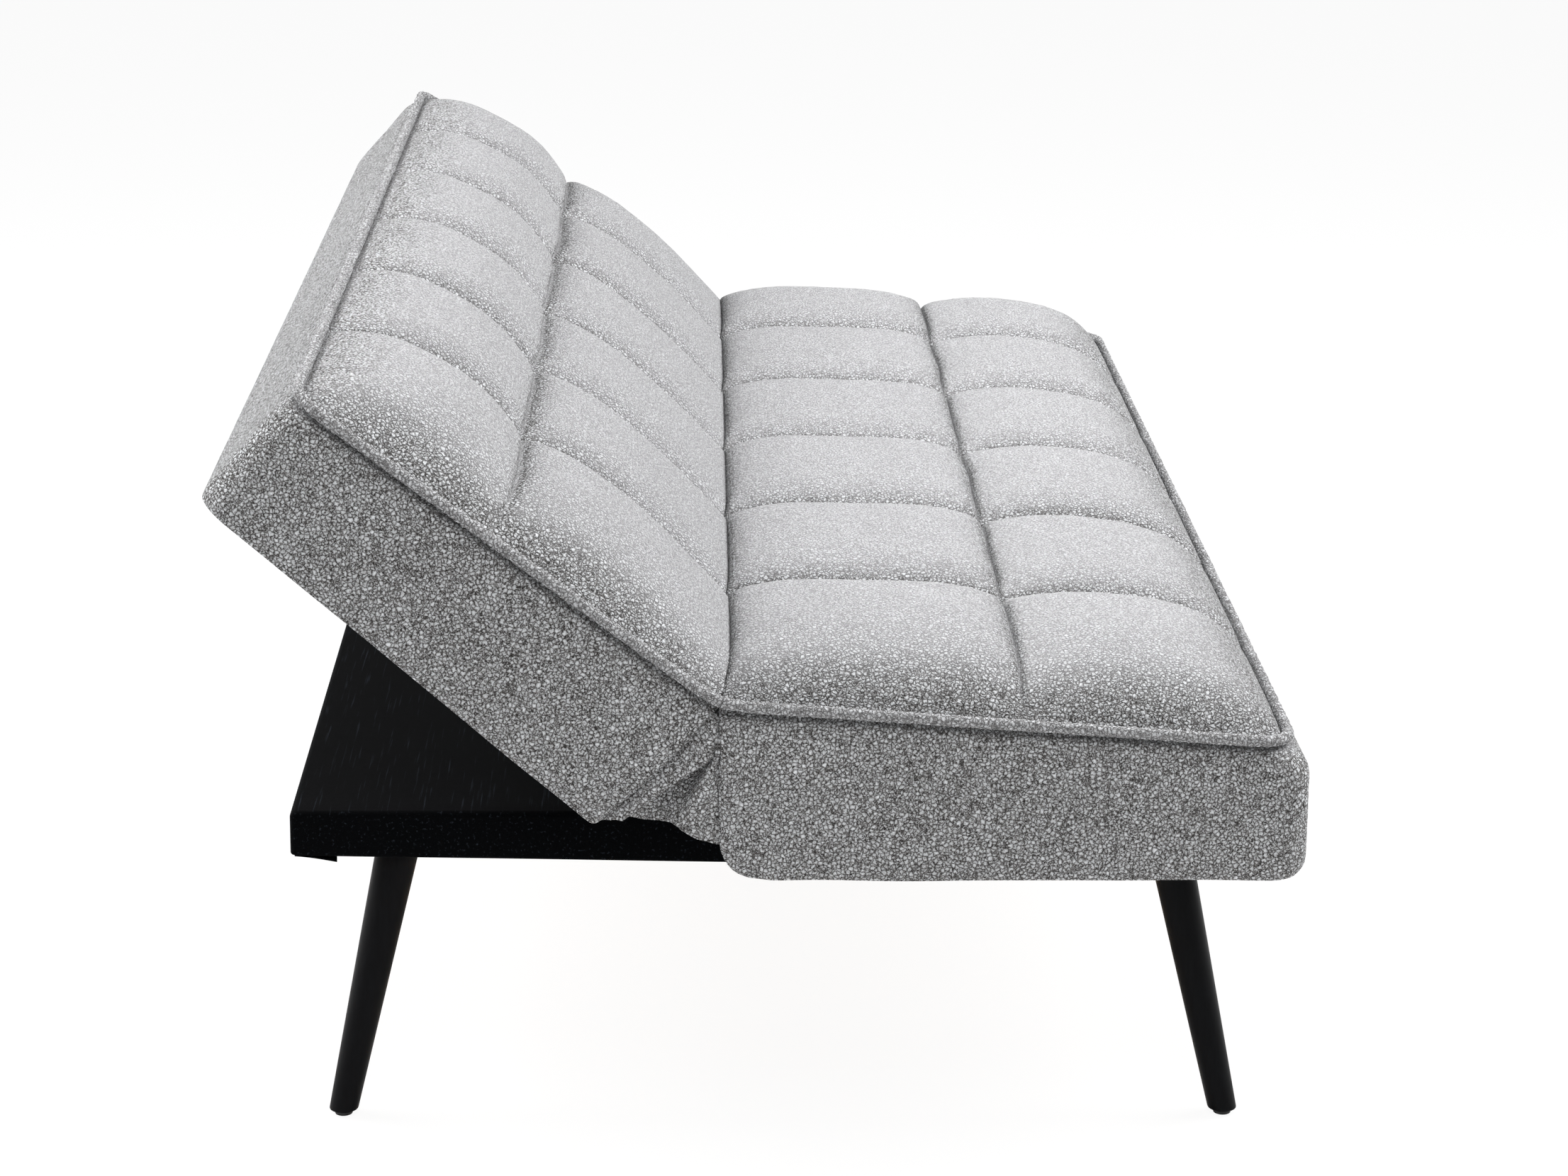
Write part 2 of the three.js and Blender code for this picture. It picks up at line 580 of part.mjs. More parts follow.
function pawlPiece(name, side) {
  const { tip, pivot, place } = pawlLine();
  const outline = new THREE.Shape([tip, place(pivot, 0, -PAWL.halfWidth), place(pivot, PAWL.tail, -PAWL.halfWidth),
    place(pivot, PAWL.tail, PAWL.halfWidth), place(pivot, 0, PAWL.halfWidth)]);
  const stub = barX(PAWL.stubRadius, onSide(side, seatArmInner, backArmOuter), pivot.x, pivot.y, HINGE.sides);
  const body = join(plate(outline, onSide(side, seatArmInner, seatArmOuter)), stub);
  return piece(name, body.translate(0, backPivot.out, backPivot.up), 'steel');
}

class Coil extends THREE.Curve {
  constructor(foot, axis, along, side) {
    super();
    Object.assign(this, { foot, axis, along, side });
  }

  getPoint(t, target = new THREE.Vector3()) {
    const turn = 2 * Math.PI * PAWL_SPRING.turns * t;
    const swing = new THREE.Vector3(this.side, 0, 0).multiplyScalar(PAWL_SPRING.coilRadius * Math.cos(turn))
      .addScaledVector(this.along, PAWL_SPRING.coilRadius * Math.sin(turn));
    return target.copy(this.foot).addScaledVector(this.axis, PAWL_SPRING.length * t).add(swing);
  }
}

function pawlSpring(name, side) {
  const { along, across, springFoot } = pawlLine();
  const x = side * (backArmInner - FIT_GAP - PAWL_SPRING.coilRadius - PAWL_SPRING.wire);
  const foot = new THREE.Vector3(x, springFoot.x + backPivot.out, springFoot.y + backPivot.up);
  const axis = new THREE.Vector3(0, across.x, across.y);
  const coil = new Coil(foot, axis, new THREE.Vector3(0, along.x, along.y), side);
  const steps = PAWL_SPRING.turns * PAWL_SPRING.stepsPerTurn;
  return piece(name, tube(coil, PAWL_SPRING.wire, steps, PAWL_SPRING.sides), 'steel');
}

function hingePin(name, side) {
  const shaft = [seatArmInner - FIT_GAP - HINGE.headThickness, backArmOuter + FIT_GAP + HINGE.headThickness];
  const heads = [[shaft[0], shaft[0] + HINGE.headThickness], [shaft[1] - HINGE.headThickness, shaft[1]]];
  const bars = [barX(HINGE.pinRadius, onSide(side, ...shaft), 0, 0, HINGE.sides),
    ...heads.map((head) => barX(HINGE.headRadius, onSide(side, ...head), 0, 0, HINGE.sides))];
  return piece(name, join(...bars).translate(0, seatPivot.out, seatPivot.up), 'steel');
}

function hingeBolts(tag, pivot, side, armInner, railInner) {
  const head = armInner - FIT_GAP;
  return BOLT.places.map((place, n) => {
    const at = [pivot.out + place, pivot.up - BOLT.drop, BOLT.sides];
    const bolt = join(barX(BOLT.shankRadius, onSide(side, head, railInner + BOLT.grip), ...at),
      barX(BOLT.headRadius, onSide(side, head - BOLT.headHeight, head), ...at));
    return piece(`${tag}_bolt_${n + 1}`, bolt, 'steel');
  });
}

// Cloth across the ends and the bottom of the crease

function backPoint(out, up) {
  const turn = radians(BACK_REST);
  return [out * Math.cos(turn) - up * Math.sin(turn), out * Math.sin(turn) + up * Math.cos(turn)];
}

// A gusset fans out from a point on the seat's rear edge, with one valley fold down to its hem
function gussetPiece(name, side) {
  const seatEdge = COVER_GAP - CREASE_GAP;
  const backEdge = CREASE_GAP - COVER_GAP;
  const heelDrop = BACK.height - BACK.heelRise;
  const heelShare = (GUSSET.backDrop - heelDrop) / BACK.heelRise;
  const heelOut = lerp(CREASE_GAP, BACK.heelRun, heelShare) - 2 * COVER_GAP;
  const outline = [
    [seatEdge, -GUSSET.foldDrop, 0],
    [seatEdge, -GUSSET.seatDrop, 0],
    ...GUSSET.hemOut.map((out, n) => [out, -GUSSET.hemDrop[n], GUSSET.valley * GUSSET.valleyShares[n]]),
    [...backPoint(heelOut, -GUSSET.backDrop), 0],
    [...backPoint(backEdge, -heelDrop), 0],
    [...backPoint(backEdge, backPivot.up - GUSSET.inset), 0],
    [seatEdge, -GUSSET.topDrop, 0],
  ];
  const skins = [0, GUSSET.thickness].map((depth) => outline.map(([y, z, fold]) => (
    [side * (half - GUSSET.inset - fold - depth), y, z])));
  const count = outline.length;
  const triangles = [];
  for (let n = 1; n + 1 < count; n += 1) {
    triangles.push([0, n, n + 1], [count, count + n + 1, count + n]);
  }
  for (let n = 0; n < count; n += 1) {
    const next = (n + 1) % count;
    triangles.push([next, n, count + n], [next, count + n, count + next]);
  }
  return piece(name, closedSurface(skins.flat(), triangles), 'boucle');
}

function creaseStrip() {
  const outer = STRIP.width / 2;
  const inner = outer - STRIP.thickness;
  const band = new THREE.Shape();
  band.moveTo(STRIP.centre - outer, -STRIP.topDrop);
  band.lineTo(STRIP.centre - outer, -STRIP.straightDrop);
  band.absarc(STRIP.centre, -STRIP.straightDrop, outer, Math.PI, 2 * Math.PI, false);
  band.lineTo(STRIP.centre + outer, -STRIP.topDrop);
  band.lineTo(STRIP.centre + inner, -STRIP.topDrop);
  band.absarc(STRIP.centre, -STRIP.straightDrop, inner, 2 * Math.PI, Math.PI, true);
  band.lineTo(STRIP.centre - inner, -STRIP.topDrop);
  const reach = half - STRIP.endInset;
  return piece('crease_strip', plate(band, [-reach, reach], SPRING.stepsPerWave * 2), 'boucle');
}

// Assembly: the seat's own frame looks forwards and the back's looks rearwards, turned up to its rest angle

const ends = [{ name: 'right', sign: -1 }, { name: 'left', sign: 1 }];

const seat = new THREE.Group();
seat.position.z = CREASE_HEIGHT;
seat.rotation.z = Math.PI;
seat.add(
  piece('seat_cover', coverGeometry(SEAT, seatPivot), 'boucle'),
  piece('seat_welt', weltGeometry(SEAT, seatPivot), 'boucle'),
  piece('seat_foam', foamGeometry(SEAT), 'foam'),
  piece('seat_springs', springDeck(SEAT), 'steel'),
  farRail('seat_front_rail', SEAT, seatRailInner),
  creaseRail('seat_rear_rail', seatArmInner - FIT_GAP, BASE.top + FIT_GAP - CREASE_HEIGHT),
);
for (const end of ends) {
  seat.add(
    endRail(`seat_${end.name}_rail`, SEAT, seatPivot, -end.sign, [seatRailInner, seatRailOuter]),
    seatArm(`hinge_seat_arm_${end.name}`, -end.sign),
    hingePin(`hinge_pin_${end.name}`, -end.sign),
    ...hingeBolts(`seat_hinge_${end.name}`, seatPivot, -end.sign, seatArmInner, seatRailInner),
  );
}

const back = new THREE.Group();
back.position.z = CREASE_HEIGHT;
back.rotation.x = radians(BACK_REST);
back.add(
  piece('back_cover', coverGeometry(BACK, backPivot), 'boucle'),
  piece('back_welt', weltGeometry(BACK, backPivot), 'boucle'),
  piece('back_foam', foamGeometry(BACK), 'foam'),
  piece('back_springs', springDeck(BACK), 'steel'),
  farRail('back_top_rail', BACK, backRailInner),
  creaseRail('back_bottom_rail', backArmInner - FIT_GAP, -RAIL.topDrop - DUST_COVER.railHeight),
  dustCover(),
);
for (const end of ends) {
  back.add(
    endRail(`back_${end.name}_rail`, BACK, backPivot, end.sign, [backRailInner, backRailOuter]),
    backArm(`hinge_back_arm_${end.name}`, end.sign),
    pawlPiece(`pawl_${end.name}`, end.sign),
    pawlSpring(`pawl_spring_${end.name}`, end.sign),
    ...hingeBolts(`back_hinge_${end.name}`, backPivot, end.sign, backArmInner, backRailInner),
  );
}

const crease = new THREE.Group();
crease.position.z = CREASE_HEIGHT;
crease.add(creaseStrip(), ...ends.map((end) => gussetPiece(`gusset_${end.name}`, end.sign)));

const sofa = new THREE.Group();
sofa.add(seat, back, crease, baseCover(), ...baseFrame());
for (const { sign } of ends) {
  for (const front of [true, false]) sofa.add(...legPieces({ side: sign, front }));
}

const middle = new THREE.Box3().setFromObject(sofa, true).getCenter(new THREE.Vector3());
sofa.position.set(-middle.x, -middle.y, 0);

const group = new THREE.Group();
group.add(sofa);

export default group;
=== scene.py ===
"""Click clack sofa bed: curly pile cushions, piping, gussets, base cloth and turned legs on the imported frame.

Lengths are in metres. Each cushion is worked out in its own places (x along the sofa, out from the
crease, up from the line of its piping) and then set into the frame.
"""

import json
import math

import bpy
import numpy as np
from mathutils import Matrix, Vector


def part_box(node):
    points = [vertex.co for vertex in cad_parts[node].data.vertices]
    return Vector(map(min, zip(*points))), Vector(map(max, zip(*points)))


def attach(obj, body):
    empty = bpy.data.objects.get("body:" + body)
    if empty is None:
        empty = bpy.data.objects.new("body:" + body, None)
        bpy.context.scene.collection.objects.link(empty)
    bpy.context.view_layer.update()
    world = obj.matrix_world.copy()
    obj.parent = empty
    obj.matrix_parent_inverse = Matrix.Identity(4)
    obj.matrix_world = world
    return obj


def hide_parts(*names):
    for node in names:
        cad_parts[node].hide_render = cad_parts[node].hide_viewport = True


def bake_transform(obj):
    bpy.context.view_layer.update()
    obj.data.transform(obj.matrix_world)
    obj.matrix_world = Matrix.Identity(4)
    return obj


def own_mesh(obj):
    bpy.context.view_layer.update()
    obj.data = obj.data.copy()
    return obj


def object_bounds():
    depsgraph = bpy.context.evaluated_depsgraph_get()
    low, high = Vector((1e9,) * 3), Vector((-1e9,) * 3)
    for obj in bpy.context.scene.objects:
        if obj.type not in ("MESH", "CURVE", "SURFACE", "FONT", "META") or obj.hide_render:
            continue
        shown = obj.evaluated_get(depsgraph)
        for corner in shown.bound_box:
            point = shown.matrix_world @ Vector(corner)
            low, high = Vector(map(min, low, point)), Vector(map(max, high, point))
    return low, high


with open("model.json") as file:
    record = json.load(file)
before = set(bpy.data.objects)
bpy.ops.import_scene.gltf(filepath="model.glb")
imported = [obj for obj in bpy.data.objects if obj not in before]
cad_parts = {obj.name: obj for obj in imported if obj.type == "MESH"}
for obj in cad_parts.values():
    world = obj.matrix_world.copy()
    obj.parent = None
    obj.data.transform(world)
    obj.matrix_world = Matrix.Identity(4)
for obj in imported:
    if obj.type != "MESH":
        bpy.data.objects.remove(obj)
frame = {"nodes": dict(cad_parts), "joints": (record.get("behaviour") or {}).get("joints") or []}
cad_low, cad_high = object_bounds()

# The crease lies straight above the hinge axis; the back lies flat at the lower end of the hinge's range
hinge = next(joint for joint in frame["joints"] if joint["name"] == "backrest_hinge")
PIVOT_DROP = 0.020
CREASE_Y = hinge["pos_m"][1]
CREASE_Z = hinge["pos_m"][2] + PIVOT_DROP
REST_TILT = math.radians(-hinge["range_deg"][0])
LEAN = REST_TILT / 2

HALF = cad_high.x
ROWS = 6
CREASE_GAP = 0.0002

# Three values are a seam's reach, power and fullness; the puffs are the heights of the two columns of panels
SEAT = {
    "depth": 0.522, "seam": 0.279, "welt_drop": 0.0365, "height": 0.1675, "far_bulge": 0.024,
    "far_hem": 0.0170, "heel_run": 0.036, "heel_rise": 0.043, "heel_round": 1.0, "hem_round": 0.010,
    "lap_half": 0.857, "lap_far": 0.486, "lap_rise": 0.0, "lap_skin": 0.0,
    "crown": 0.012, "puffs": (0.034, 0.038), "far_edge": (0.12, 2.0, 0.64), "crease": (0.09, 2.3, 0.55),
    "seam_share": 0.62, "slant": 0.007, "foam_far": 0.507,
}
BACK = {
    "depth": 0.479, "seam": 0.267, "welt_drop": 0.0330, "height": 0.1625, "far_bulge": 0.009,
    "far_hem": 0.006, "heel_run": 0.012, "heel_rise": 0.1, "heel_round": 0.0, "hem_round": 0.004,
    "lap_half": 0.8583, "lap_far": 0.4503, "lap_rise": 0.043, "lap_skin": 0.0018,
    "crown": 0.0, "puffs": (0.036, 0.042), "far_edge": (0.16, 2.0, 0.66), "crease": (0.20, 2.0, 0.9),
    "seam_share": 0.60, "slant": 0.0, "foam_far": 0.4705,
}

TOP_HALF = HALF - 0.009
CAVITY_HALF = 0.883
SKIN = 0.008
CORNER = 0.031
HEM_IN = 0.005
EDGE_ROLL = 0.005
SIDE_PULL = 0.003
SWELL_SHARE = 0.26
TUCK_SHARE = 0.86
TUCK_POWER = 2.2
LAP_THICKNESS = 0.0035

# A pair is a height and the pitch that it repeats at
QUILT = {
    "seam_rise": 0.021, "rise_reach": 0.066, "rise_power": 2.5, "groove": 0.006, "dome": 0.004,
    "stitch": 0.0025, "stitch_width": 0.0035, "border": 0.03, "crown_reach": 0.15, "puff_spread": 0.05,
    "wander": (0.0022, 0.16), "pucker": (0.0007, 0.031), "pucker_gap": 0.014, "pucker_width": 0.012,
    "wave": (0.0012, 0.11), "curl": (0.0008, 0.013),
    "row_seam": (0.072, 2.3, 0.53), "column_seam": (0.078, 2.3, 0.48),
    "column_seam_far": (0.105, 2.0, 0.72), "end_edge": (0.15, 2.0, 0.85),
    "pressed": 0.012, "wall_foot": -0.004, "loose_from": 0.1, "loose_by": 0.3,
}
BOXING = {
    "walls": (0.5, 0.16), "wave": (0.0012, 0.12), "curl": (0.0007, 0.013), "hem_wave": (0.0012, 0.14),
    "hem_from": 0.8, "hem_by": 0.2, "hem_round_share": 0.6, "roll": (0.016, 2.2, 0.6), "roll_by": 0.1,
    "seam_dip": 0.0012, "seam_width": 0.004, "seam_place": 0.3, "least_corner": 0.004, "corner_draw": 0.6,
    "pinch": 0.0045, "pinch_share": 0.02, "pinch_width_share": 0.016,
}
PRESSED_PILE, PRESSED_FROM, PRESSED_BY = 0.34, 0.6, 0.38
ROW_CELLS, COLUMN_CELLS, WALL_ROWS, LEVELS, LAP_ROWS = 44, 36, 5, 22, 8
GATHER = 0.62

PIPING = {
    "radius": 0.0053, "shift": 0.0040, "bend": 0.020, "step": 0.0022, "sides": 18, "nub": 0.0014,
    "nub_pitch": 0.0055, "uneven_share": 0.06, "uneven_pitch": 0.03, "pile": 0.62, "straight_gap": 0.002,
    "bend_share": 0.49, "bend_steps": 10, "corner_steps": 16,
}


# Small helpers on arrays

def lerp(a, b, share):
    """Straight from a at share 0 to b at share 1."""
    return a + (b - a) * share


def smooth(share):
    """3 s^2 - 2 s^3 of a share held between 0 and 1."""
    s = np.clip(share, 0, 1)
    return s * s * (3 - 2 * s)


def plump(distance, reach, power=2.2, fullness=1.0):
    """Rise of stuffed cloth away from a seam: (1 - (1 - d / reach)^power)^fullness, and 1 past the reach."""
    return (1 - (1 - np.clip(distance / reach, 0, 1)) ** power) ** fullness


def gathered(count):
    """Shares 0 to 1 drawn towards both ends: s - g sin(2 pi s) / (2 pi)."""
    s = np.linspace(0, 1, count + 1)
    return s - GATHER * np.sin(2 * np.pi * s) / (2 * np.pi)


def panel_places(panels, cells):
    """Places 0 to the number of panels, each panel cut into cells drawn towards its seams."""
    shares = gathered(cells)[:-1]
    return np.append((np.arange(panels)[:, None] + shares).ravel(), panels)


def ripple(a, b, pitch, seed, waves=6):
    """Smooth seeded unevenness over (a, b): the mean of sine waves in random directions, a pitch long."""
    rng = np.random.default_rng(seed)
    turn, phase = rng.uniform(0, 2 * np.pi, (2, waves))
    rate = 2 * np.pi / (pitch * rng.uniform(0.7, 1.5, waves))
    total = np.zeros(np.broadcast(a, b).shape)
    for n in range(waves):
        total = total + np.sin(rate[n] * (a * np.cos(turn[n]) + b * np.sin(turn[n])) + phase[n])
    return total / waves


def quads(grid):
    """The quads between neighbouring rows and columns of a grid of point numbers."""
    return np.stack([grid[:-1, :-1], grid[1:, :-1], grid[1:, 1:], grid[:-1, 1:]], -1).reshape(-1, 4)


def facing_out(points, faces):
    """The quads turned so that the volume that they enclose is positive."""
    a, b, c, d = (points[faces[:, n]] for n in range(4))
    volume = (np.einsum("ij,ij->i", a, np.cross(b, c)) + np.einsum("ij,ij->i", a, np.cross(c, d))).sum()
    return faces if volume > 0 else faces[:, ::-1]


def run_along(points):
    """The length run along a line of points up to each of them, from zero."""
    return np.concatenate([[0], np.cumsum(np.linalg.norm(np.diff(points, axis=0), axis=1))])


def turned_away(points, faces, middle):
    """The quads of an open surface turned so that they look away from a middle point."""
    a, b, c = (points[faces[:, n]] for n in range(3))
    outward = (np.cross(b - a, c - a) * ((a + c) / 2 - middle)).sum()
    return faces if outward > 0 else faces[:, ::-1]


def seat_place(local):
    """(x, out, up) to the frame: out runs forwards from the crease."""
    return np.stack([local[..., 0], CREASE_Y - local[..., 1], CREASE_Z + local[..., 2]], -1)


def back_place(local):
    """(x, out, up) to the frame: out runs rearwards and up at the rest tilt."""
    out, up = local[..., 1], local[..., 2]
    return np.stack([
        local[..., 0],
        CREASE_Y + out * math.cos(REST_TILT) - up * math.sin(REST_TILT),
        CREASE_Z + out * math.sin(REST_TILT) + up * math.cos(REST_TILT),
    ], -1)


# Meshes

def make_piece(name, points, faces, material, caps=(), top=None, pile=1.0):
    """A mesh object from arrays of points and quads, with its rest places kept as the cloth_place attribute.

    The pile_depth attribute is the given pile, or where the piece has a top, less at the points that look
    that way, where use presses the pile flat.
    """
    points = np.asarray(points, float).reshape(-1, 3)
    mesh = bpy.data.meshes.new(name)
    mesh.from_pydata(points.tolist(), [], np.asarray(faces).tolist() + [list(map(int, cap)) for cap in caps])
    mesh.polygons.foreach_set("use_smooth", np.ones(len(mesh.polygons), bool))
    place = mesh.attributes.new("cloth_place", "FLOAT_VECTOR", "POINT")
    place.data.foreach_set("vector", points.astype(np.float32).ravel())
    mesh.materials.append(material)
    mesh.update()
    depth = np.full(len(points), pile, np.float32)
    if top is not None:
        normal = np.empty(len(points) * 3, np.float32)
        mesh.vertices.foreach_get("normal", normal)
        facing = normal.reshape(-1, 3) @ top
        depth = lerp(1, PRESSED_PILE, smooth((facing - PRESSED_FROM) / PRESSED_BY)).astype(np.float32)
    mesh.attributes.new("pile_depth", "FLOAT", "POINT").data.foreach_set("value", depth)
    piece = bpy.data.objects.new(name, mesh)
    bpy.context.scene.collection.objects.link(piece)
    return piece


def thickened(piece, thickness):
    """Gives a surface its cloth's thickness, inwards."""
    solid = piece.modifiers.new("thickness", "SOLIDIFY")
    solid.thickness = thickness
    solid.offset = -1
    return piece


def make_sheet(name, surface, material, thickness, away):
    """A cloth sheet from a grid of points: it faces away from the given point and is thickened towards it."""
    grid = np.arange(surface.shape[0] * surface.shape[1]).reshape(surface.shape[:2])
    points = surface.reshape(-1, 3)
    piece = make_piece(name, points, turned_away(points, quads(grid), away), material)
    return thickened(piece, thickness)


def across_crease(piece):
    """Bakes a piece's placement into its points."""
    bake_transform(piece)


def tube(path, radius, sides):
    """Points and quads of a round tube: at each path point a ring in the plane square to the path."""
    along = np.gradient(path, axis=0)
    along /= np.linalg.norm(along, axis=1)[:, None]
    across = np.cross(along, [0, 0, 1.0])
    across /= np.linalg.norm(across, axis=1)[:, None]
    rise = np.cross(across, along)
    turn = np.linspace(0, 2 * np.pi, sides, endpoint=False)[None, :, None]
    size = np.broadcast_to(radius, (len(path), sides))[..., None]
    points = path[:, None] + size * (np.cos(turn) * across[:, None] + np.sin(turn) * rise[:, None])
    grid = np.arange(len(path) * sides).reshape(len(path), sides)
    ring = quads(np.column_stack([grid, grid[:, 0]]))
    return points.reshape(-1, 3), ring, [grid[0], grid[-1][::-1]]


def make_tube(name, place, path, radius, sides, material, pile=1.0):
    """A capped tube along a path, set into the frame with its faces outwards."""
    points, faces, caps = tube(path, radius, sides)
    points = place(points)
    outward = facing_out(points, faces)
    if not np.array_equal(outward, faces):
        caps = [cap[::-1] for cap in caps]
    return make_piece(name, points, outward, material, caps, pile=pile)


def turned(profile, sides, lean=(0, 0), foot=(0, 0, 0)):
    """A turned piece: the profile's (radius, z) spun about Z, then leaned in x and y by a rate for each z."""
    r, z = np.asarray(profile, float).T
    turn = np.linspace(0, 2 * np.pi, sides, endpoint=False)
    x = r[:, None] * np.cos(turn) + lean[0] * z[:, None] + foot[0]
    y = r[:, None] * np.sin(turn) + lean[1] * z[:, None] + foot[1]
    points = np.stack([x, y, np.broadcast_to(z[:, None] + foot[2], x.shape)], -1).reshape(-1, 3)
    grid = np.arange(len(r) * sides).reshape(len(r), sides)
    faces = quads(np.column_stack([grid, grid[:, 0]]))
    return points, facing_out(points, faces), grid


# Shader nodes

def node(tree, kind, inputs=None, **settings):
    """A shader node with its settings and inputs; an input given as a socket is linked."""
    made = tree.nodes.new(kind)
    for key, value in settings.items():
        setattr(made, key, value)
    for key, value in (inputs or {}).items():
        if isinstance(value, bpy.types.NodeSocket):
            tree.links.new(value, made.inputs[key])
        else:
            made.inputs[key].default_value = value
    return made


def ramp(tree, factor, stops):
    """A colour ramp over factor with (place, colour) stops."""
    made = node(tree, "ShaderNodeValToRGB", {"Fac": factor})
    elements = made.color_ramp.elements
    while len(elements) < len(stops):
        elements.new(0.5)
    for element, (place, colour) in zip(elements, stops):
        element.position = place
        element.color = (*colour, 1)
    return made.outputs["Color"]


def maths(tree, operation, first, second=0.0, third=0.0, clamp=False):
    """The value of a math node."""
    made = node(tree, "ShaderNodeMath", {0: first, 1: second, 2: third}, operation=operation, use_clamp=clamp)
    return made.outputs[0]


def grey(value):
    """A display grey from 0 to 255 as a linear value."""
    share = value / 255
    return share / 12.92 if share <= 0.04045 else ((share + 0.055) / 1.055) ** 2.4


def tone(red, green, blue):
    """Display values from 0 to 255 as a linear colour."""
    return tuple(grey(value) for value in (red, green, blue))


def shaded(name):
    """A new material with its Principled shader and output."""
    material = bpy.data.materials.new(name)
    material.use_nodes = True
    tree = material.node_tree
    return material, tree, tree.nodes["Principled BSDF"]


def dress(tree, shader, colour, height, strength, distance, rough):
    """Gives a shader its colour, its bump from a height, and its roughness as a value or a socket."""
    bump = node(tree, "ShaderNodeBump", {"Height": height, "Strength": strength, "Distance": distance})
    tree.links.new(colour, shader.inputs["Base Color"])
    tree.links.new(bump.outputs["Normal"], shader.inputs["Normal"])
    if isinstance(rough, bpy.types.NodeSocket):
        tree.links.new(rough, shader.inputs["Roughness"])
    else:
        shader.inputs["Roughness"].default_value = rough


# loop_shade and tuft_shade set how much loops and tufts lighten the painted shade of the curls
PILE = {
    "warp_scale": 350.0, "warp": 0.0050, "curl_scale": 262.0, "loop_scale": 560.0, "tuft_scale": 130.0,
    "dome_gain": 2.7, "dome_power": 0.72, "loop_height": 0.9, "tuft_height": 0.9,
    "loop_shade": 0.8, "tuft_shade": 0.4, "pressed_grey": 160, "bump": 0.0042,
}
WEAVE = {"slub_from": 0.57, "slub_light": 3.0, "dust_light": 0.34, "thread_height": 0.3}


def curly_pile_group():
    """Colour and height of short curly pile.

    Warped cells are the curls: each is a dome that falls to a gap, and a finer noise over them makes
    their loops. Broad tufts lift some curls above others. The colour is painted shade and light on these
    heights: dark in the gaps between curls, where shade falls, and lighter on the curl tops and lifted
    tufts. A smaller depth presses the pile: it lies lower and nears one even grey, with less painted shade.
    """
    group = bpy.data.node_groups.new("curly_pile", "ShaderNodeTree")
    group.interface.new_socket("Place", in_out="INPUT", socket_type="NodeSocketVector")
    group.interface.new_socket("Depth", in_out="INPUT", socket_type="NodeSocketFloat")
    group.interface.new_socket("Colour", in_out="OUTPUT", socket_type="NodeSocketColor")
    group.interface.new_socket("Height", in_out="OUTPUT", socket_type="NodeSocketFloat")
    start = node(group, "NodeGroupInput")
    place, depth = start.outputs["Place"], start.outputs["Depth"]
    warp = node(group, "ShaderNodeTexNoise", {"Vector": place, "Scale": PILE["warp_scale"], "Detail": 2.0})
    centred = node(group, "ShaderNodeVectorMath", {0: warp.outputs["Color"], 1: (0.5, 0.5, 0.5)},
                   operation="SUBTRACT")
    pushed = node(group, "ShaderNodeVectorMath", {0: centred.outputs[0], "Scale": PILE["warp"]},
                  operation="SCALE")
    warped = node(group, "ShaderNodeVectorMath", {0: place, 1: pushed.outputs[0]}, operation="ADD").outputs[0]
    gaps = node(group, "ShaderNodeTexVoronoi", {"Vector": warped, "Scale": PILE["curl_scale"]},
                feature="DISTANCE_TO_EDGE")
    loops = node(group, "ShaderNodeTexNoise", {"Vector": warped, "Scale": PILE["loop_scale"], "Detail": 3.0})
    tufts = node(group, "ShaderNodeTexNoise", {"Vector": place, "Scale": PILE["tuft_scale"], "Detail": 3.0})
    rise = maths(group, "MULTIPLY", gaps.outputs["Distance"], PILE["dome_gain"], clamp=True)
    dome = maths(group, "POWER", rise, PILE["dome_power"])
    loop = maths(group, "SUBTRACT", loops.outputs["Fac"], 0.5)
    tuft = maths(group, "SUBTRACT", tufts.outputs["Fac"], 0.5)
    lift = maths(group, "MULTIPLY", tuft, PILE["tuft_height"])
    height = maths(group, "ADD", maths(group, "MULTIPLY_ADD", loop, PILE["loop_height"], dome), lift)
    tuft_lit_shade = maths(group, "MULTIPLY_ADD", lift, PILE["tuft_shade"], dome)
    shade = maths(group, "MULTIPLY_ADD", loop, PILE["loop_shade"], tuft_lit_shade)
    # Painted shade and light: the gaps between curls dark, the curl tops and lifted tufts light
    full = ramp(group, shade, [
        (0.10, tone(48, 45, 43)), (0.34, tone(150, 148, 147)), (0.62, tone(208, 209, 211)),
        (1.0, tone(230, 232, 235)),
    ])
    pressed = tone(PILE["pressed_grey"], PILE["pressed_grey"], PILE["pressed_grey"] + 2)
    colour = node(group, "ShaderNodeMix", {"Factor": depth, "A": (*pressed, 1), "B": full},
                  data_type="RGBA").outputs["Result"]
    end = node(group, "NodeGroupOutput")
    group.links.new(colour, end.inputs["Colour"])
    group.links.new(maths(group, "MULTIPLY", height, depth), end.inputs["Height"])
    return group


def curly_cloth():
    """The light grey curly pile of cushions, piping, gussets and crease cloth."""
    material, tree, shader = shaded("curly_cloth")
    place = node(tree, "ShaderNodeAttribute", attribute_name="cloth_place", attribute_type="GEOMETRY")
    pile = node(tree, "ShaderNodeGroup", node_tree=curly_pile_group())
    tree.links.new(place.outputs["Vector"], pile.inputs["Place"])
    depth = node(tree, "ShaderNodeAttribute", attribute_name="pile_depth", attribute_type="GEOMETRY")
    tree.links.new(depth.outputs["Fac"], pile.inputs["Depth"])
    dress(tree, shader, pile.outputs["Colour"], pile.outputs["Height"], 1.0, PILE["bump"], 0.95)
    shader.inputs["Specular IOR Level"].default_value = 0.08
    shader.inputs["Sheen Weight"].default_value = 0.08
    shader.inputs["Sheen Roughness"].default_value = 0.5
    return material


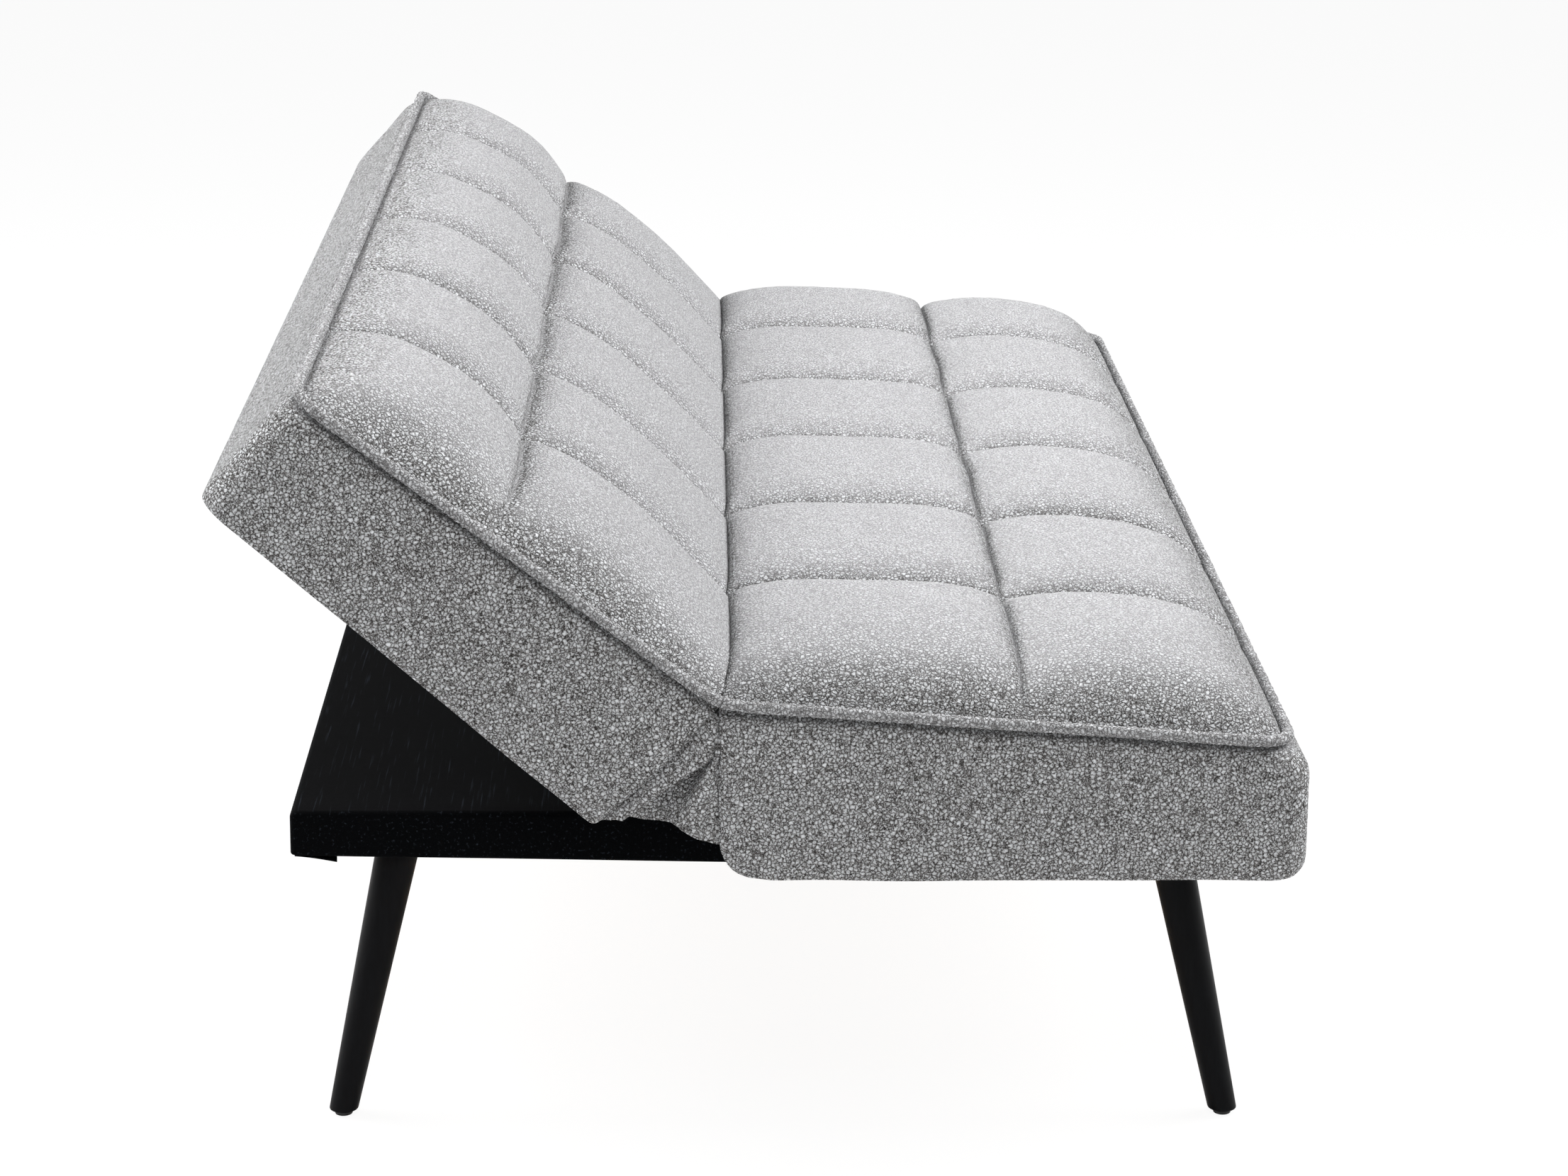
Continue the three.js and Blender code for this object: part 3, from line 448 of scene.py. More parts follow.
def woven_black():
    """Black base cloth: fine crossed threads with slubs that run along the sofa."""
    material, tree, shader = shaded("woven_black")
    place = node(tree, "ShaderNodeTexCoord").outputs["Object"]
    threads = {"Vector": place, "Scale": 420.0, "Distortion": 1.2, "Detail": 1.0}
    across = node(tree, "ShaderNodeTexWave", threads, bands_direction="X")
    along = node(tree, "ShaderNodeTexWave", threads, bands_direction="Y")
    weave = maths(tree, "ADD", across.outputs["Fac"], along.outputs["Fac"])
    stretched = node(tree, "ShaderNodeMapping", {"Vector": place, "Scale": (11.0, 330.0, 330.0)})
    slubs = node(tree, "ShaderNodeTexNoise", {"Vector": stretched.outputs[0], "Scale": 1.0, "Detail": 2.0})
    dust = node(tree, "ShaderNodeTexNoise", {"Vector": place, "Scale": 900.0, "Detail": 1.0})
    slub = maths(tree, "SUBTRACT", slubs.outputs["Fac"], WEAVE["slub_from"], clamp=True)
    dusty = maths(tree, "MULTIPLY", dust.outputs["Fac"], WEAVE["dust_light"])
    light = maths(tree, "MULTIPLY_ADD", slub, WEAVE["slub_light"], dusty)
    colour = ramp(tree, light, [(0.0, tone(1, 1, 2)), (0.30, tone(5, 6, 7)), (1.0, tone(40, 44, 51))])
    height = maths(tree, "MULTIPLY_ADD", weave, WEAVE["thread_height"], slub)
    dress(tree, shader, colour, height, 0.5, 0.0006, 0.9)
    shader.inputs["Specular IOR Level"].default_value = 0.03
    return material


def dust_cloth():
    """Thin dark felted dust cloth: matted fibres and faint pressed dots."""
    material, tree, shader = shaded("dust_cloth")
    place = node(tree, "ShaderNodeTexCoord").outputs["Object"]
    matted = {"Vector": place, "Scale": 260.0, "Detail": 5.0, "Distortion": 1.5}
    fibres = node(tree, "ShaderNodeTexNoise", matted)
    dots = node(tree, "ShaderNodeTexVoronoi", {"Vector": place, "Scale": 380.0, "Randomness": 0.1})
    colour = ramp(tree, fibres.outputs["Fac"], [(0.3, tone(24, 25, 27)), (0.75, tone(58, 60, 63))])
    height = maths(tree, "ADD", fibres.outputs["Fac"], dots.outputs["Distance"])
    dress(tree, shader, colour, height, 0.4, 0.0005, 0.95)
    return material


def satin_black():
    """Satin black paint on turned wood: the grain shows faintly through, with a soft sheen."""
    material, tree, shader = shaded("satin_black")
    place = node(tree, "ShaderNodeTexCoord").outputs["Object"]
    stretched = node(tree, "ShaderNodeMapping", {"Vector": place, "Scale": (260.0, 260.0, 16.0)})
    grain = node(tree, "ShaderNodeTexNoise", {"Vector": stretched.outputs[0], "Scale": 1.0, "Detail": 4.0})
    wear = node(tree, "ShaderNodeTexNoise", {"Vector": place, "Scale": 38.0, "Detail": 3.0})
    colour = ramp(tree, grain.outputs["Fac"], [(0.3, tone(2, 2, 3)), (0.8, tone(6, 7, 9))])
    rough = maths(tree, "MULTIPLY_ADD", wear.outputs["Fac"], 0.16, 0.42)
    dress(tree, shader, colour, grain.outputs["Fac"], 0.12, 0.0005, rough)
    shader.inputs["Specular IOR Level"].default_value = 0.07
    return material


def moulded_black():
    """Black moulded plastic with a fine spark-eroded texture."""
    material, tree, shader = shaded("moulded_black")
    place = node(tree, "ShaderNodeTexCoord").outputs["Object"]
    pits = node(tree, "ShaderNodeTexNoise", {"Vector": place, "Scale": 1400.0, "Detail": 2.0})
    colour = ramp(tree, pits.outputs["Fac"], [(0.3, tone(17, 17, 18)), (0.8, tone(30, 30, 31))])
    dress(tree, shader, colour, pits.outputs["Fac"], 0.25, 0.0003, 0.55)
    return material


def timber(name, stretch):
    """Sawn pine: long wavering grain along the direction that is stretched least, with darker late wood."""
    material, tree, shader = shaded(name)
    place = node(tree, "ShaderNodeTexCoord").outputs["Object"]
    run = node(tree, "ShaderNodeMapping", {"Vector": place, "Scale": stretch}).outputs[0]
    grain = node(tree, "ShaderNodeTexNoise", {"Vector": run, "Scale": 1.0, "Detail": 5.0, "Distortion": 0.6})
    saw = node(tree, "ShaderNodeTexNoise", {"Vector": place, "Scale": 700.0, "Detail": 2.0})
    colour = ramp(tree, grain.outputs["Fac"], [
        (0.30, tone(150, 112, 72)), (0.50, tone(196, 160, 112)), (0.72, tone(216, 184, 138)),
    ])
    height = maths(tree, "MULTIPLY_ADD", saw.outputs["Fac"], 0.5, grain.outputs["Fac"])
    dress(tree, shader, colour, height, 0.3, 0.0006, 0.78)
    return material


def foam_cream():
    """Cut upholstery foam: fine open cells, a little yellowed in patches."""
    material, tree, shader = shaded("foam_cream")
    place = node(tree, "ShaderNodeTexCoord").outputs["Object"]
    cells = node(tree, "ShaderNodeTexVoronoi", {"Vector": place, "Scale": 900.0})
    patches = node(tree, "ShaderNodeTexNoise", {"Vector": place, "Scale": 9.0, "Detail": 2.0})
    colour = ramp(tree, patches.outputs["Fac"], [(0.35, tone(226, 214, 172)), (0.7, tone(236, 228, 196))])
    dress(tree, shader, colour, cells.outputs["Distance"], 0.5, 0.0008, 0.95)
    return material


def zinc_steel():
    """Zinc-plated pressed steel: mottled plating with fine rolling marks."""
    material, tree, shader = shaded("zinc_steel")
    place = node(tree, "ShaderNodeTexCoord").outputs["Object"]
    mottle = node(tree, "ShaderNodeTexNoise", {"Vector": place, "Scale": 90.0, "Detail": 3.0})
    rolled = node(tree, "ShaderNodeMapping", {"Vector": place, "Scale": (2200.0, 60.0, 2200.0)})
    marks = node(tree, "ShaderNodeTexNoise", {"Vector": rolled.outputs[0], "Scale": 1.0, "Detail": 2.0})
    colour = ramp(tree, mottle.outputs["Fac"], [(0.3, tone(142, 146, 150)), (0.7, tone(176, 179, 182))])
    rough = maths(tree, "MULTIPLY_ADD", mottle.outputs["Fac"], 0.25, 0.26)
    dress(tree, shader, colour, marks.outputs["Fac"], 0.15, 0.0002, rough)
    shader.inputs["Metallic"].default_value = 1.0
    return material


CURLY = curly_cloth()
WOVEN = woven_black()
DUST = dust_cloth()
SATIN = satin_black()
MOULDED = moulded_black()
PINE_ALONG = timber("pine_along", (14.0, 130.0, 130.0))
PINE_ACROSS = timber("pine_across", (130.0, 14.0, 130.0))
FOAM = foam_cream()
ZINC = zinc_steel()


# Cushions

def welt_height(cushion, out):
    """The piping's line falls evenly from the crease to the far edge."""
    return -cushion["welt_drop"] * out / cushion["depth"]


def round_corners(x, out, half, far, radius):
    """Turns the far corners of an outline into arcs: each square of a corner is drawn onto a quarter disc."""
    dx, dy = np.abs(x) - (half - radius), out - (far - radius)
    inside = (dx > 0) & (dy > 0)
    shrink = np.where(inside, np.maximum(dx, dy) / np.maximum(np.hypot(dx, dy), 1e-9), 1.0)
    round_x = np.where(inside, np.sign(x) * (half - radius + dx * shrink), x)
    return round_x, np.where(inside, far - radius + dy * shrink, out)


def unevenness(a, b, sizes, wave_seed, curl_seed):
    """Broad waves in the cloth with small curls over them, each with its own height and pitch."""
    (wave, wave_pitch), (curl, curl_pitch) = sizes["wave"], sizes["curl"]
    return wave * ripple(a, b, wave_pitch, wave_seed) + curl * ripple(a, b, curl_pitch, curl_seed, 9)


def quilted_top(cushion, seed):
    """The quilt over a grid of rows and columns of panels, with a short wall at the crease.

    Height is the piping line's, plus the seams' rise away from the edges, plus for each panel the product
    of the rises across rows and columns. Seams dip at their stitches and wander a little.
    """
    rows = panel_places(ROWS, ROW_CELLS)
    columns = np.concatenate([np.linspace(-1, 0, WALL_ROWS + 1)[:-1], panel_places(2, COLUMN_CELLS)])
    c, r = np.meshgrid(columns, rows, indexing="ij")
    x = TOP_HALF * (2 * r / ROWS - 1)
    end_gap = TOP_HALF - np.abs(x)
    edge_rise = QUILT["rise_reach"], QUILT["rise_power"]
    end_rise = QUILT["seam_rise"] * plump(end_gap - QUILT["groove"], *edge_rise)
    row_gap = np.abs(r - np.clip(np.round(r), 1, ROWS - 1)) * (2 * TOP_HALF / ROWS)
    row_rise = plump(row_gap, *QUILT["row_seam"]) * plump(end_gap, *QUILT["end_edge"])
    crease_up = end_rise + QUILT["pressed"] * row_rise
    crease_out = CREASE_GAP + crease_up * math.tan(LEAN)
    width = np.where(c <= 1, cushion["seam"] - crease_out, cushion["depth"] - cushion["seam"])
    start = np.where(c <= 1, crease_out, cushion["seam"])
    inner = np.clip(c, 0, 2)
    out = start + width * np.where(c <= 1, inner, inner - 1)
    column_gap = np.abs(out - cushion["seam"])
    far_gap = cushion["depth"] - out
    seam_rise = np.where(out < cushion["seam"], plump(column_gap, *QUILT["column_seam"]),
                         plump(column_gap, *QUILT["column_seam_far"]))
    column_rise = 1 - cushion["seam_share"] * (1 - seam_rise)
    column_rise = column_rise * plump(far_gap, *cushion["far_edge"])
    panel_row, panel_column = np.minimum(r.astype(int), ROWS - 1), np.minimum(inner.astype(int), 1)
    puff = np.array(cushion["puffs"])[panel_column]
    uneven = np.random.default_rng(seed).uniform(-1, 1, (2, ROWS))[panel_column, panel_row]
    puff = puff * (1 + QUILT["puff_spread"] * uneven)
    domes = 16 * (r % 1) * (1 - r % 1) * (inner % 1) * (1 - inner % 1)
    inside = smooth(end_gap / QUILT["border"]) * smooth(far_gap / QUILT["border"])
    stitches = np.exp(-(row_gap / QUILT["stitch_width"]) ** 2)
    stitches = np.maximum(stitches, np.exp(-(column_gap / QUILT["stitch_width"]) ** 2))
    pucker, pucker_pitch = QUILT["pucker"]
    near_row = np.exp(-((row_gap - QUILT["pucker_gap"]) / QUILT["pucker_width"]) ** 2)
    near_row = near_row * np.sin(2 * np.pi * out / pucker_pitch + r * 2)
    near_column = np.exp(-((column_gap - QUILT["pucker_gap"]) / QUILT["pucker_width"]) ** 2)
    near_column = near_column * np.sin(2 * np.pi * x / pucker_pitch)
    up = welt_height(cushion, out) + end_rise * plump(far_gap, *edge_rise)
    arch = np.sin(np.pi * np.clip(out / cushion["depth"], 0, 1))
    up = up + cushion["crown"] * arch * plump(end_gap, QUILT["crown_reach"])
    near_share = plump(out - crease_out, *cushion["crease"])
    full = row_rise * column_rise * near_share
    up = up + (puff + QUILT["dome"] * domes) * full + QUILT["pressed"] * row_rise * (1 - near_share)
    up = up + inside * (pucker * (near_row + near_column) - QUILT["stitch"] * stitches)
    up = up + full * unevenness(x, out, QUILT, seed + 5, seed + 6)
    wall = np.clip(-c, 0, 1)
    up = lerp(up, QUILT["wall_foot"], wall)
    loose = inside * smooth((inner - QUILT["loose_from"]) / QUILT["loose_by"])
    wander, wander_pitch = QUILT["wander"]
    wide = x + wander * loose * ripple(x, out, wander_pitch, seed + 1)
    deep = out + wander * loose * ripple(x, out, wander_pitch, seed + 2)
    deep = np.where(c < 0, CREASE_GAP + (crease_out - CREASE_GAP) * (1 - wall), deep)
    wide, deep = round_corners(wide, deep, TOP_HALF, cushion["depth"], CORNER)
    return np.stack([wide, deep, up], -1), rows / ROWS * 2 - 1, inner[:, 0] / 2


def pinch(share):
    """The boxing is drawn in under the piping, where it is sewn: a bell over a narrow share of its height."""
    return BOXING["pinch"] * np.exp(-((share - BOXING["pinch_share"]) / BOXING["pinch_width_share"]) ** 2)


def swell_and_tuck(share):
    """How far the boxing has swelled below the piping, and how far it is tucked in at the hem."""
    tuck = np.clip((share - TUCK_SHARE) / (1 - TUCK_SHARE), 0, 1) ** TUCK_POWER
    return plump(share, SWELL_SHARE), tuck


def slanted(cushion, local):
    """Shears a cushion's places: the far edge stands a little further out at one end than at the other."""
    x, out, up = np.moveaxis(local, -1, 0)
    return np.stack([x, out * (1 - cushion["slant"] / cushion["depth"] * x / TOP_HALF), up], -1)


def side_half(share):
    """Half the length over the end faces, at a share of the way down from the piping to the hem."""
    swell, tuck = swell_and_tuck(share)
    return TOP_HALF + (HALF - TOP_HALF) * swell - HEM_IN * tuck - pinch(share)


def heel_out(cushion, up):
    """How far the crease edge of the end faces stands out from the crease, at a height below it: over the
    heel a straight slope (a heel_round of 0) or a quarter ellipse (1), then a small round at the hem."""
    rise = np.clip((-up - (cushion["height"] - cushion["heel_rise"])) / cushion["heel_rise"], 0, 1)
    hem = np.clip((-up - cushion["height"] + cushion["hem_round"]) / cushion["hem_round"], 0, 1)
    heel = lerp(rise, 1 - np.sqrt(1 - rise ** 2), cushion["heel_round"])
    rounding = cushion["hem_round"] * (1 - np.sqrt(1 - hem ** 2)) * BOXING["hem_round_share"]
    return CREASE_GAP * 2 + cushion["heel_run"] * heel + rounding


def wall_levels():
    """The levels of boxing and lining: shares of the way down, of the lap's way in, and of its way up."""
    share = gathered(LEVELS)[1:, None]
    lap = np.linspace(0, 1, LAP_ROWS + 1)[1:, None]
    down = np.vstack([share, np.ones_like(lap)])
    under = np.vstack([np.zeros_like(share), lap])
    return down, under, np.clip(2 * under, 0, 1), np.clip(2 * under - 1, 0, 1)


def boxing(cushion, across, outwards, seed):
    """The plain boxing under the piping, then the hem's lap under the frame, level by level.

    Each level is a rounded outline; it swells below the piping, falls straight, rounds in at the hem, turns
    under and goes up the rails' inner faces. Its sides draw in a little between the corners.
    """
    down, under, inward, climb = wall_levels()
    swell, tuck = swell_and_tuck(down)
    bulge = cushion["far_bulge"] * swell - (cushion["far_bulge"] - cushion["far_hem"]) * tuck
    bulge = bulge - pinch(down)
    half = lerp(side_half(down), cushion["lap_half"], inward)
    far = lerp(cushion["depth"] + bulge, cushion["lap_far"], inward)
    near_up = -down * cushion["height"]
    far_up = -cushion["welt_drop"] - down * (cushion["height"] - cushion["welt_drop"])
    near = heel_out(cushion, near_up)
    soft = np.sin(np.pi * down) * (1 - under)
    wall_depth, wall_height = BOXING["walls"]
    around = across * HALF + outwards * wall_depth
    waver = soft * unevenness(around, down * wall_height, BOXING, seed + 3, seed + 7)
    out = lerp(near, far - SIDE_PULL * soft * (1 - across ** 2) + waver, outwards)
    roll = EDGE_ROLL * (1 - plump(out - near, *BOXING["roll"]))
    roll = roll * smooth(down / BOXING["roll_by"]) * (1 - under)
    x = across * (half - SIDE_PULL * soft * 4 * outwards * (1 - outwards) + waver - roll)
    radius = np.maximum(CORNER * (1 - BOXING["corner_draw"] * under), BOXING["least_corner"])
    x, out = round_corners(x, out, half, far, radius)
    past_seam = (np.abs(x) - half) + radius * BOXING["seam_place"]
    corner_seam = np.exp(-(past_seam / BOXING["seam_width"]) ** 2)
    corner_seam = corner_seam * (outwards > 0.9) * (out > far - radius)
    x = x - np.sign(x) * BOXING["seam_dip"] * corner_seam * soft
    up = lerp(near_up, far_up, outwards) + cushion["lap_rise"] * climb
    hem_wave, hem_pitch = BOXING["hem_wave"]
    near_hem = smooth((down - BOXING["hem_from"]) / BOXING["hem_by"])
    up = up + hem_wave * near_hem * (1 - climb) * ripple(x, out, hem_pitch, seed + 4)
    return np.stack([x, out, up], -1)


def lining(cushion, top, row_share, across, outwards):
    """The cushion's inner face, point for point under its outer one: a flat ceiling and straight walls."""
    far = cushion["depth"] - SKIN
    out = np.maximum(top[..., 1] * far / cushion["depth"], CREASE_GAP)
    x = np.broadcast_to(row_share * CAVITY_HALF, out.shape)
    ceiling = np.stack([x, out, welt_height(cushion, out) - SKIN], -1)
    down, _, inward, climb = wall_levels()
    half = lerp(CAVITY_HALF, cushion["lap_half"] + cushion["lap_skin"], inward)
    reach = lerp(far, cushion["lap_far"] + cushion["lap_skin"], inward)
    out = lerp(heel_out(cushion, -down * cushion["height"]), reach, outwards)
    up = lerp(welt_height(cushion, out) - SKIN, LAP_THICKNESS - cushion["height"], down)
    up = up + cushion["lap_rise"] * climb
    return ceiling, np.stack([across * half, out, up], -1)


def cushion_mesh(cushion, seed):
    """Points and quads of a cushion: the quilt and the boxing that hangs from three of its sides, the same
    grids again on the lining, and the rim between their edges."""
    top, row_share, column_share = quilted_top(cushion, seed)
    first = WALL_ROWS
    side = np.ones(top.shape[0] - first)
    across = np.concatenate([-side, row_share[1:-1], side])
    outwards = np.concatenate([column_share[first:], np.ones(top.shape[1] - 2), column_share[first:][::-1]])
    skirt = boxing(cushion, across, outwards, seed)
    ceiling, walls = lining(cushion, top, row_share, across, outwards)
    points = np.vstack([part.reshape(-1, 3) for part in (top, skirt, ceiling, walls)])
    count = len(points) // 2
    grid = np.arange(top.shape[0] * top.shape[1]).reshape(top.shape[:2])
    border = np.concatenate([grid[first:, 0], grid[-1, 1:-1], grid[first:, -1][::-1]])
    below = np.arange(skirt.shape[0] * skirt.shape[1]).reshape(skirt.shape[:2])
    hang = np.vstack([border, grid.size + below])
    outer = np.vstack([quads(grid), quads(hang)])[:, ::-1]
    loop = np.concatenate([
        grid[0], grid[1:first + 1, -1], hang[1:, -1], hang[-1, -2::-1], hang[-2::-1, 0],
        grid[first - 1:0:-1, 0],
    ])
    after = np.roll(loop, -1)
    rim = np.stack([after, loop, loop + count, after + count], -1)
    return points, np.vstack([outer, outer[:, ::-1] + count, rim])


def make_cushion(name, cushion, place, seed, node_name):
    """A padded cushion that stands for its packed cover."""
    local, faces = cushion_mesh(cushion, seed)
    points = place(slanted(cushion, local))
    top = place(np.array([0, 0, 1.0])) - place(np.zeros(3))
    piece = make_piece(name, points, facing_out(points, faces), CURLY, top=top)
    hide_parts(node_name)
    across_crease(piece)


# Piping

def piping_path(cushion):
    """The piping's line: from the crease along one end, round the far corners, and back along the other end.

    At the crease it bends as the first half of a parabola between the two cushions' lines, so that both
    pipings meet square to the plane between them. It is spaced evenly along its length.
    """
    shift, bend = PIPING["shift"], PIPING["bend"]
    half, far, radius = TOP_HALF + shift, cushion["depth"] + shift, CORNER + shift
    start = np.array([bend, shift])
    turn = np.array([shift * math.tan(LEAN), shift])
    line = np.array([math.sin(LEAN), math.cos(LEAN)])
    mirrored = 2 * (start @ line) * line - start
    t = np.linspace(PIPING["bend_share"], 0, PIPING["bend_steps"])[:, None]
    curve = (1 - t) ** 2 * start + 2 * t * (1 - t) * turn + t ** 2 * mirrored
    angle = np.linspace(0, np.pi / 2, PIPING["corner_steps"])
    side_x = np.concatenate([np.full(2, -half), -half + radius * (1 - np.cos(angle))])
    gap = PIPING["straight_gap"]
    side_out = np.concatenate([[bend + gap, far - radius - gap], far - radius * (1 - np.sin(angle))])
    side = np.stack([side_x, side_out, shift + welt_height(cushion, side_out)], -1)
    arm = np.vstack([np.column_stack([np.full(len(curve), -half), curve]), side])
    path = np.vstack([arm, arm[::-1] * [-1, 1, 1]])
    length = run_along(path)
    even = np.linspace(0, length[-1], int(length[-1] / PIPING["step"]))
    return np.stack([np.interp(even, length, path[:, n]) for n in range(3)], -1)


def make_piping(name, cushion, place, seed, node_name):
    """A cord-filled bead along the cushion's edge, a little uneven in thickness as curly cloth makes it."""
    path = piping_path(cushion)
    along = np.arange(len(path)) * PIPING["step"]
    girth = np.linspace(0, 2 * np.pi, PIPING["sides"], endpoint=False) * PIPING["radius"]
    nubs = PIPING["nub"] * ripple(along[:, None], girth, PIPING["nub_pitch"], seed)
    uneven = PIPING["uneven_share"] * ripple(along, 0 * along, PIPING["uneven_pitch"], seed)
    radius = PIPING["radius"] * (1 + uneven)[:, None] + nubs
    piece = make_tube(name, lambda local: place(slanted(cushion, local)), path, radius, PIPING["sides"],
                      CURLY, PIPING["pile"])
    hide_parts(node_name)
    across_crease(piece)


make_cushion("seat_cushion", SEAT, seat_place, 11, "seat_cover")
make_cushion("back_cushion", BACK, back_place, 23, "back_cover")
make_piping("seat_piping", SEAT, seat_place, 31, "seat_welt")
make_piping("back_piping", BACK, back_place, 37, "back_welt")


# Foam and dust cover

FOAM_BLOCK = {
    "half": 0.8825, "near": 0.0083, "skin": 0.0086, "bottom": -0.0736, "round": 0.009,
    "notch": (0.8325, 0.075), "notch_edge_share": 1.004, "cut": (0.0004, 0.06), "blunt_share": 0.96,
    "cells": (96, 48),
}
DUST_COVER = {
    "half": 0.8500, "near": 0.0095, "far": 0.4498, "level": -0.1134, "sag": 0.0030, "ripple": (0.0004, 0.08),
    "rail": 0.03, "thickness": 0.0010, "inside": (0, 0.24, 0.0),
}


def foam_grid(cushion, face, seed):
    """One face of a foam block over a grid: level or falling as the piping does, its edge a quarter round.

    The crease edge steps back at both ends, where the hinges stand.
    """
    cells_across, cells_out = FOAM_BLOCK["cells"]
    notch_half, notch_out = FOAM_BLOCK["notch"]
    shares = gathered(cells_across)
    step = FOAM_BLOCK["notch_edge_share"]
    notch_edges = np.array([-1, 1, -step, step]) * notch_half / FOAM_BLOCK["half"]
    across = np.unique(np.concatenate([-shares[::-1], shares[1:], notch_edges]))
    across = across[np.abs(across) <= 1][:, None]
    share = gathered(cells_out)[None, :]
    x = FOAM_BLOCK["half"] * across
    far = cushion["foam_far"]
    near = np.where(np.abs(x) > notch_half, notch_out, FOAM_BLOCK["near"])
    out = lerp(near, far, share)
    edge = np.minimum(np.minimum(out - near, far - out), FOAM_BLOCK["half"] - np.abs(x))
    soft = 1 - np.clip(edge / FOAM_BLOCK["round"], 0, 1)
    round_off = FOAM_BLOCK["round"] * (1 - np.sqrt(1 - soft ** 2 * FOAM_BLOCK["blunt_share"]))
    level = welt_height(cushion, out) - FOAM_BLOCK["skin"] if face > 0 else 0 * out + FOAM_BLOCK["bottom"]
    cut, cut_pitch = FOAM_BLOCK["cut"]
    up = level - face * (round_off + cut * (1 + ripple(x, out, cut_pitch, seed)))
    return np.stack([x + 0 * out, out, up], -1)


def make_foam(name, cushion, place, seed, body, node_name):
    """A foam block: its upper and lower faces, joined by a wall round their edges."""
    top, bottom = foam_grid(cushion, 1, seed), foam_grid(cushion, -1, seed + 1)
    grid = np.arange(top.shape[0] * top.shape[1]).reshape(top.shape[:2])
    loop = np.concatenate([grid[:, 0], grid[-1, 1:], grid[-2::-1, -1], grid[0, -2:0:-1]])
    after = np.roll(loop, -1)
    wall = np.stack([loop, after, after + grid.size, loop + grid.size], -1)
    faces = np.vstack([quads(grid)[:, ::-1], quads(grid) + grid.size, wall[:, ::-1]])
    points = place(np.vstack([top.reshape(-1, 3), bottom.reshape(-1, 3)]))
    piece = make_piece(name, points, facing_out(points, faces), FOAM)
    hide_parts(node_name)
    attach(piece, body)


def make_dust_cover():
    """Thin cloth stapled flat under the back's frame, which sags a little between the rails."""
    half, near, far, rail = (DUST_COVER[key] for key in ("half", "near", "far", "rail"))
    x = np.linspace(-half, half, 161)[:, None]
    out = np.linspace(near, far, 49)[None, :]
    bay = np.clip((1 - (x / (half - rail)) ** 2), 0, 1)
    bay = bay * np.clip(1 - ((2 * out - near - far) / (far - near - 2 * rail)) ** 2, 0, 1)
    slack, slack_pitch = DUST_COVER["ripple"]
    up = DUST_COVER["level"] - DUST_COVER["sag"] * bay - slack * bay * ripple(x, out, slack_pitch, 41)
    surface = back_place(np.stack([x + 0 * out, out + 0 * x, up], -1))
    piece = make_sheet("dust_cloth_cover", surface, DUST, DUST_COVER["thickness"],
                       back_place(np.array(DUST_COVER["inside"])))
    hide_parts("back_dust_cover")
    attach(piece, "backrest")


# Cloth at the crease

GUSSET = {
    "start": 0.004, "inset": 0.0055, "thickness": 0.0025, "flat": (0.17, 0.15), "pocket": 0.021,
    "reach": 0.135, "crumple": (0.0012, 0.02), "fold_from": 0.05, "pocket_from": 0.038, "pocket_by": 0.036,
    "least_pocket": 0.1, "inside": (0.05, -0.08), "span": 0.09,
}
# The hem's distance from the crease, from the seat's edge (share 0) to the back's (share 1)
HEM_SHARES = [0.0, 0.04, 0.21, 0.40, 0.47, 0.69, 0.82, 0.94, 1.0]
HEM_RADII = [0.1325, 0.132, 0.1265, 0.1215, 0.1235, 0.1325, 0.1385, 0.1435, 0.155]
# Where the pocket starts and where the lip of the fold runs, as shares of the angle, by distance
POCKET_RADII = [0.0, 0.041, 0.048, 0.061, 0.074, 0.090, 0.106, 0.140]
POCKET_SHARES = [0.05, 0.06, 0.12, 0.27, 0.37, 0.43, 0.46, 0.48]
LIP_SHARES = [0.12, 0.13, 0.28, 0.52, 0.65, 0.75, 0.81, 0.88]
# Depth across the cloth, in metres, and in the pocket as a share of the pocket's depth
FOLD_STEPS = [0.0, 0.07, 0.20, 0.36, 0.46, 0.60, 0.66, 0.72, 0.82, 0.94, 1.0]
FOLD_DEPTHS = [0.003, 0.000, -0.0045, -0.001, 0.85, 1.0, 0.70, -0.0025, -0.0035, 0.001, 0.004]


def eased(steps, places, values, spread=0.022):
    """The broken line through the values, with its corners rounded by averaging over a short spread."""
    shifts = np.linspace(-spread, spread, 7)
    return np.mean([np.interp(steps + shift, places, values) for shift in shifts], axis=0)


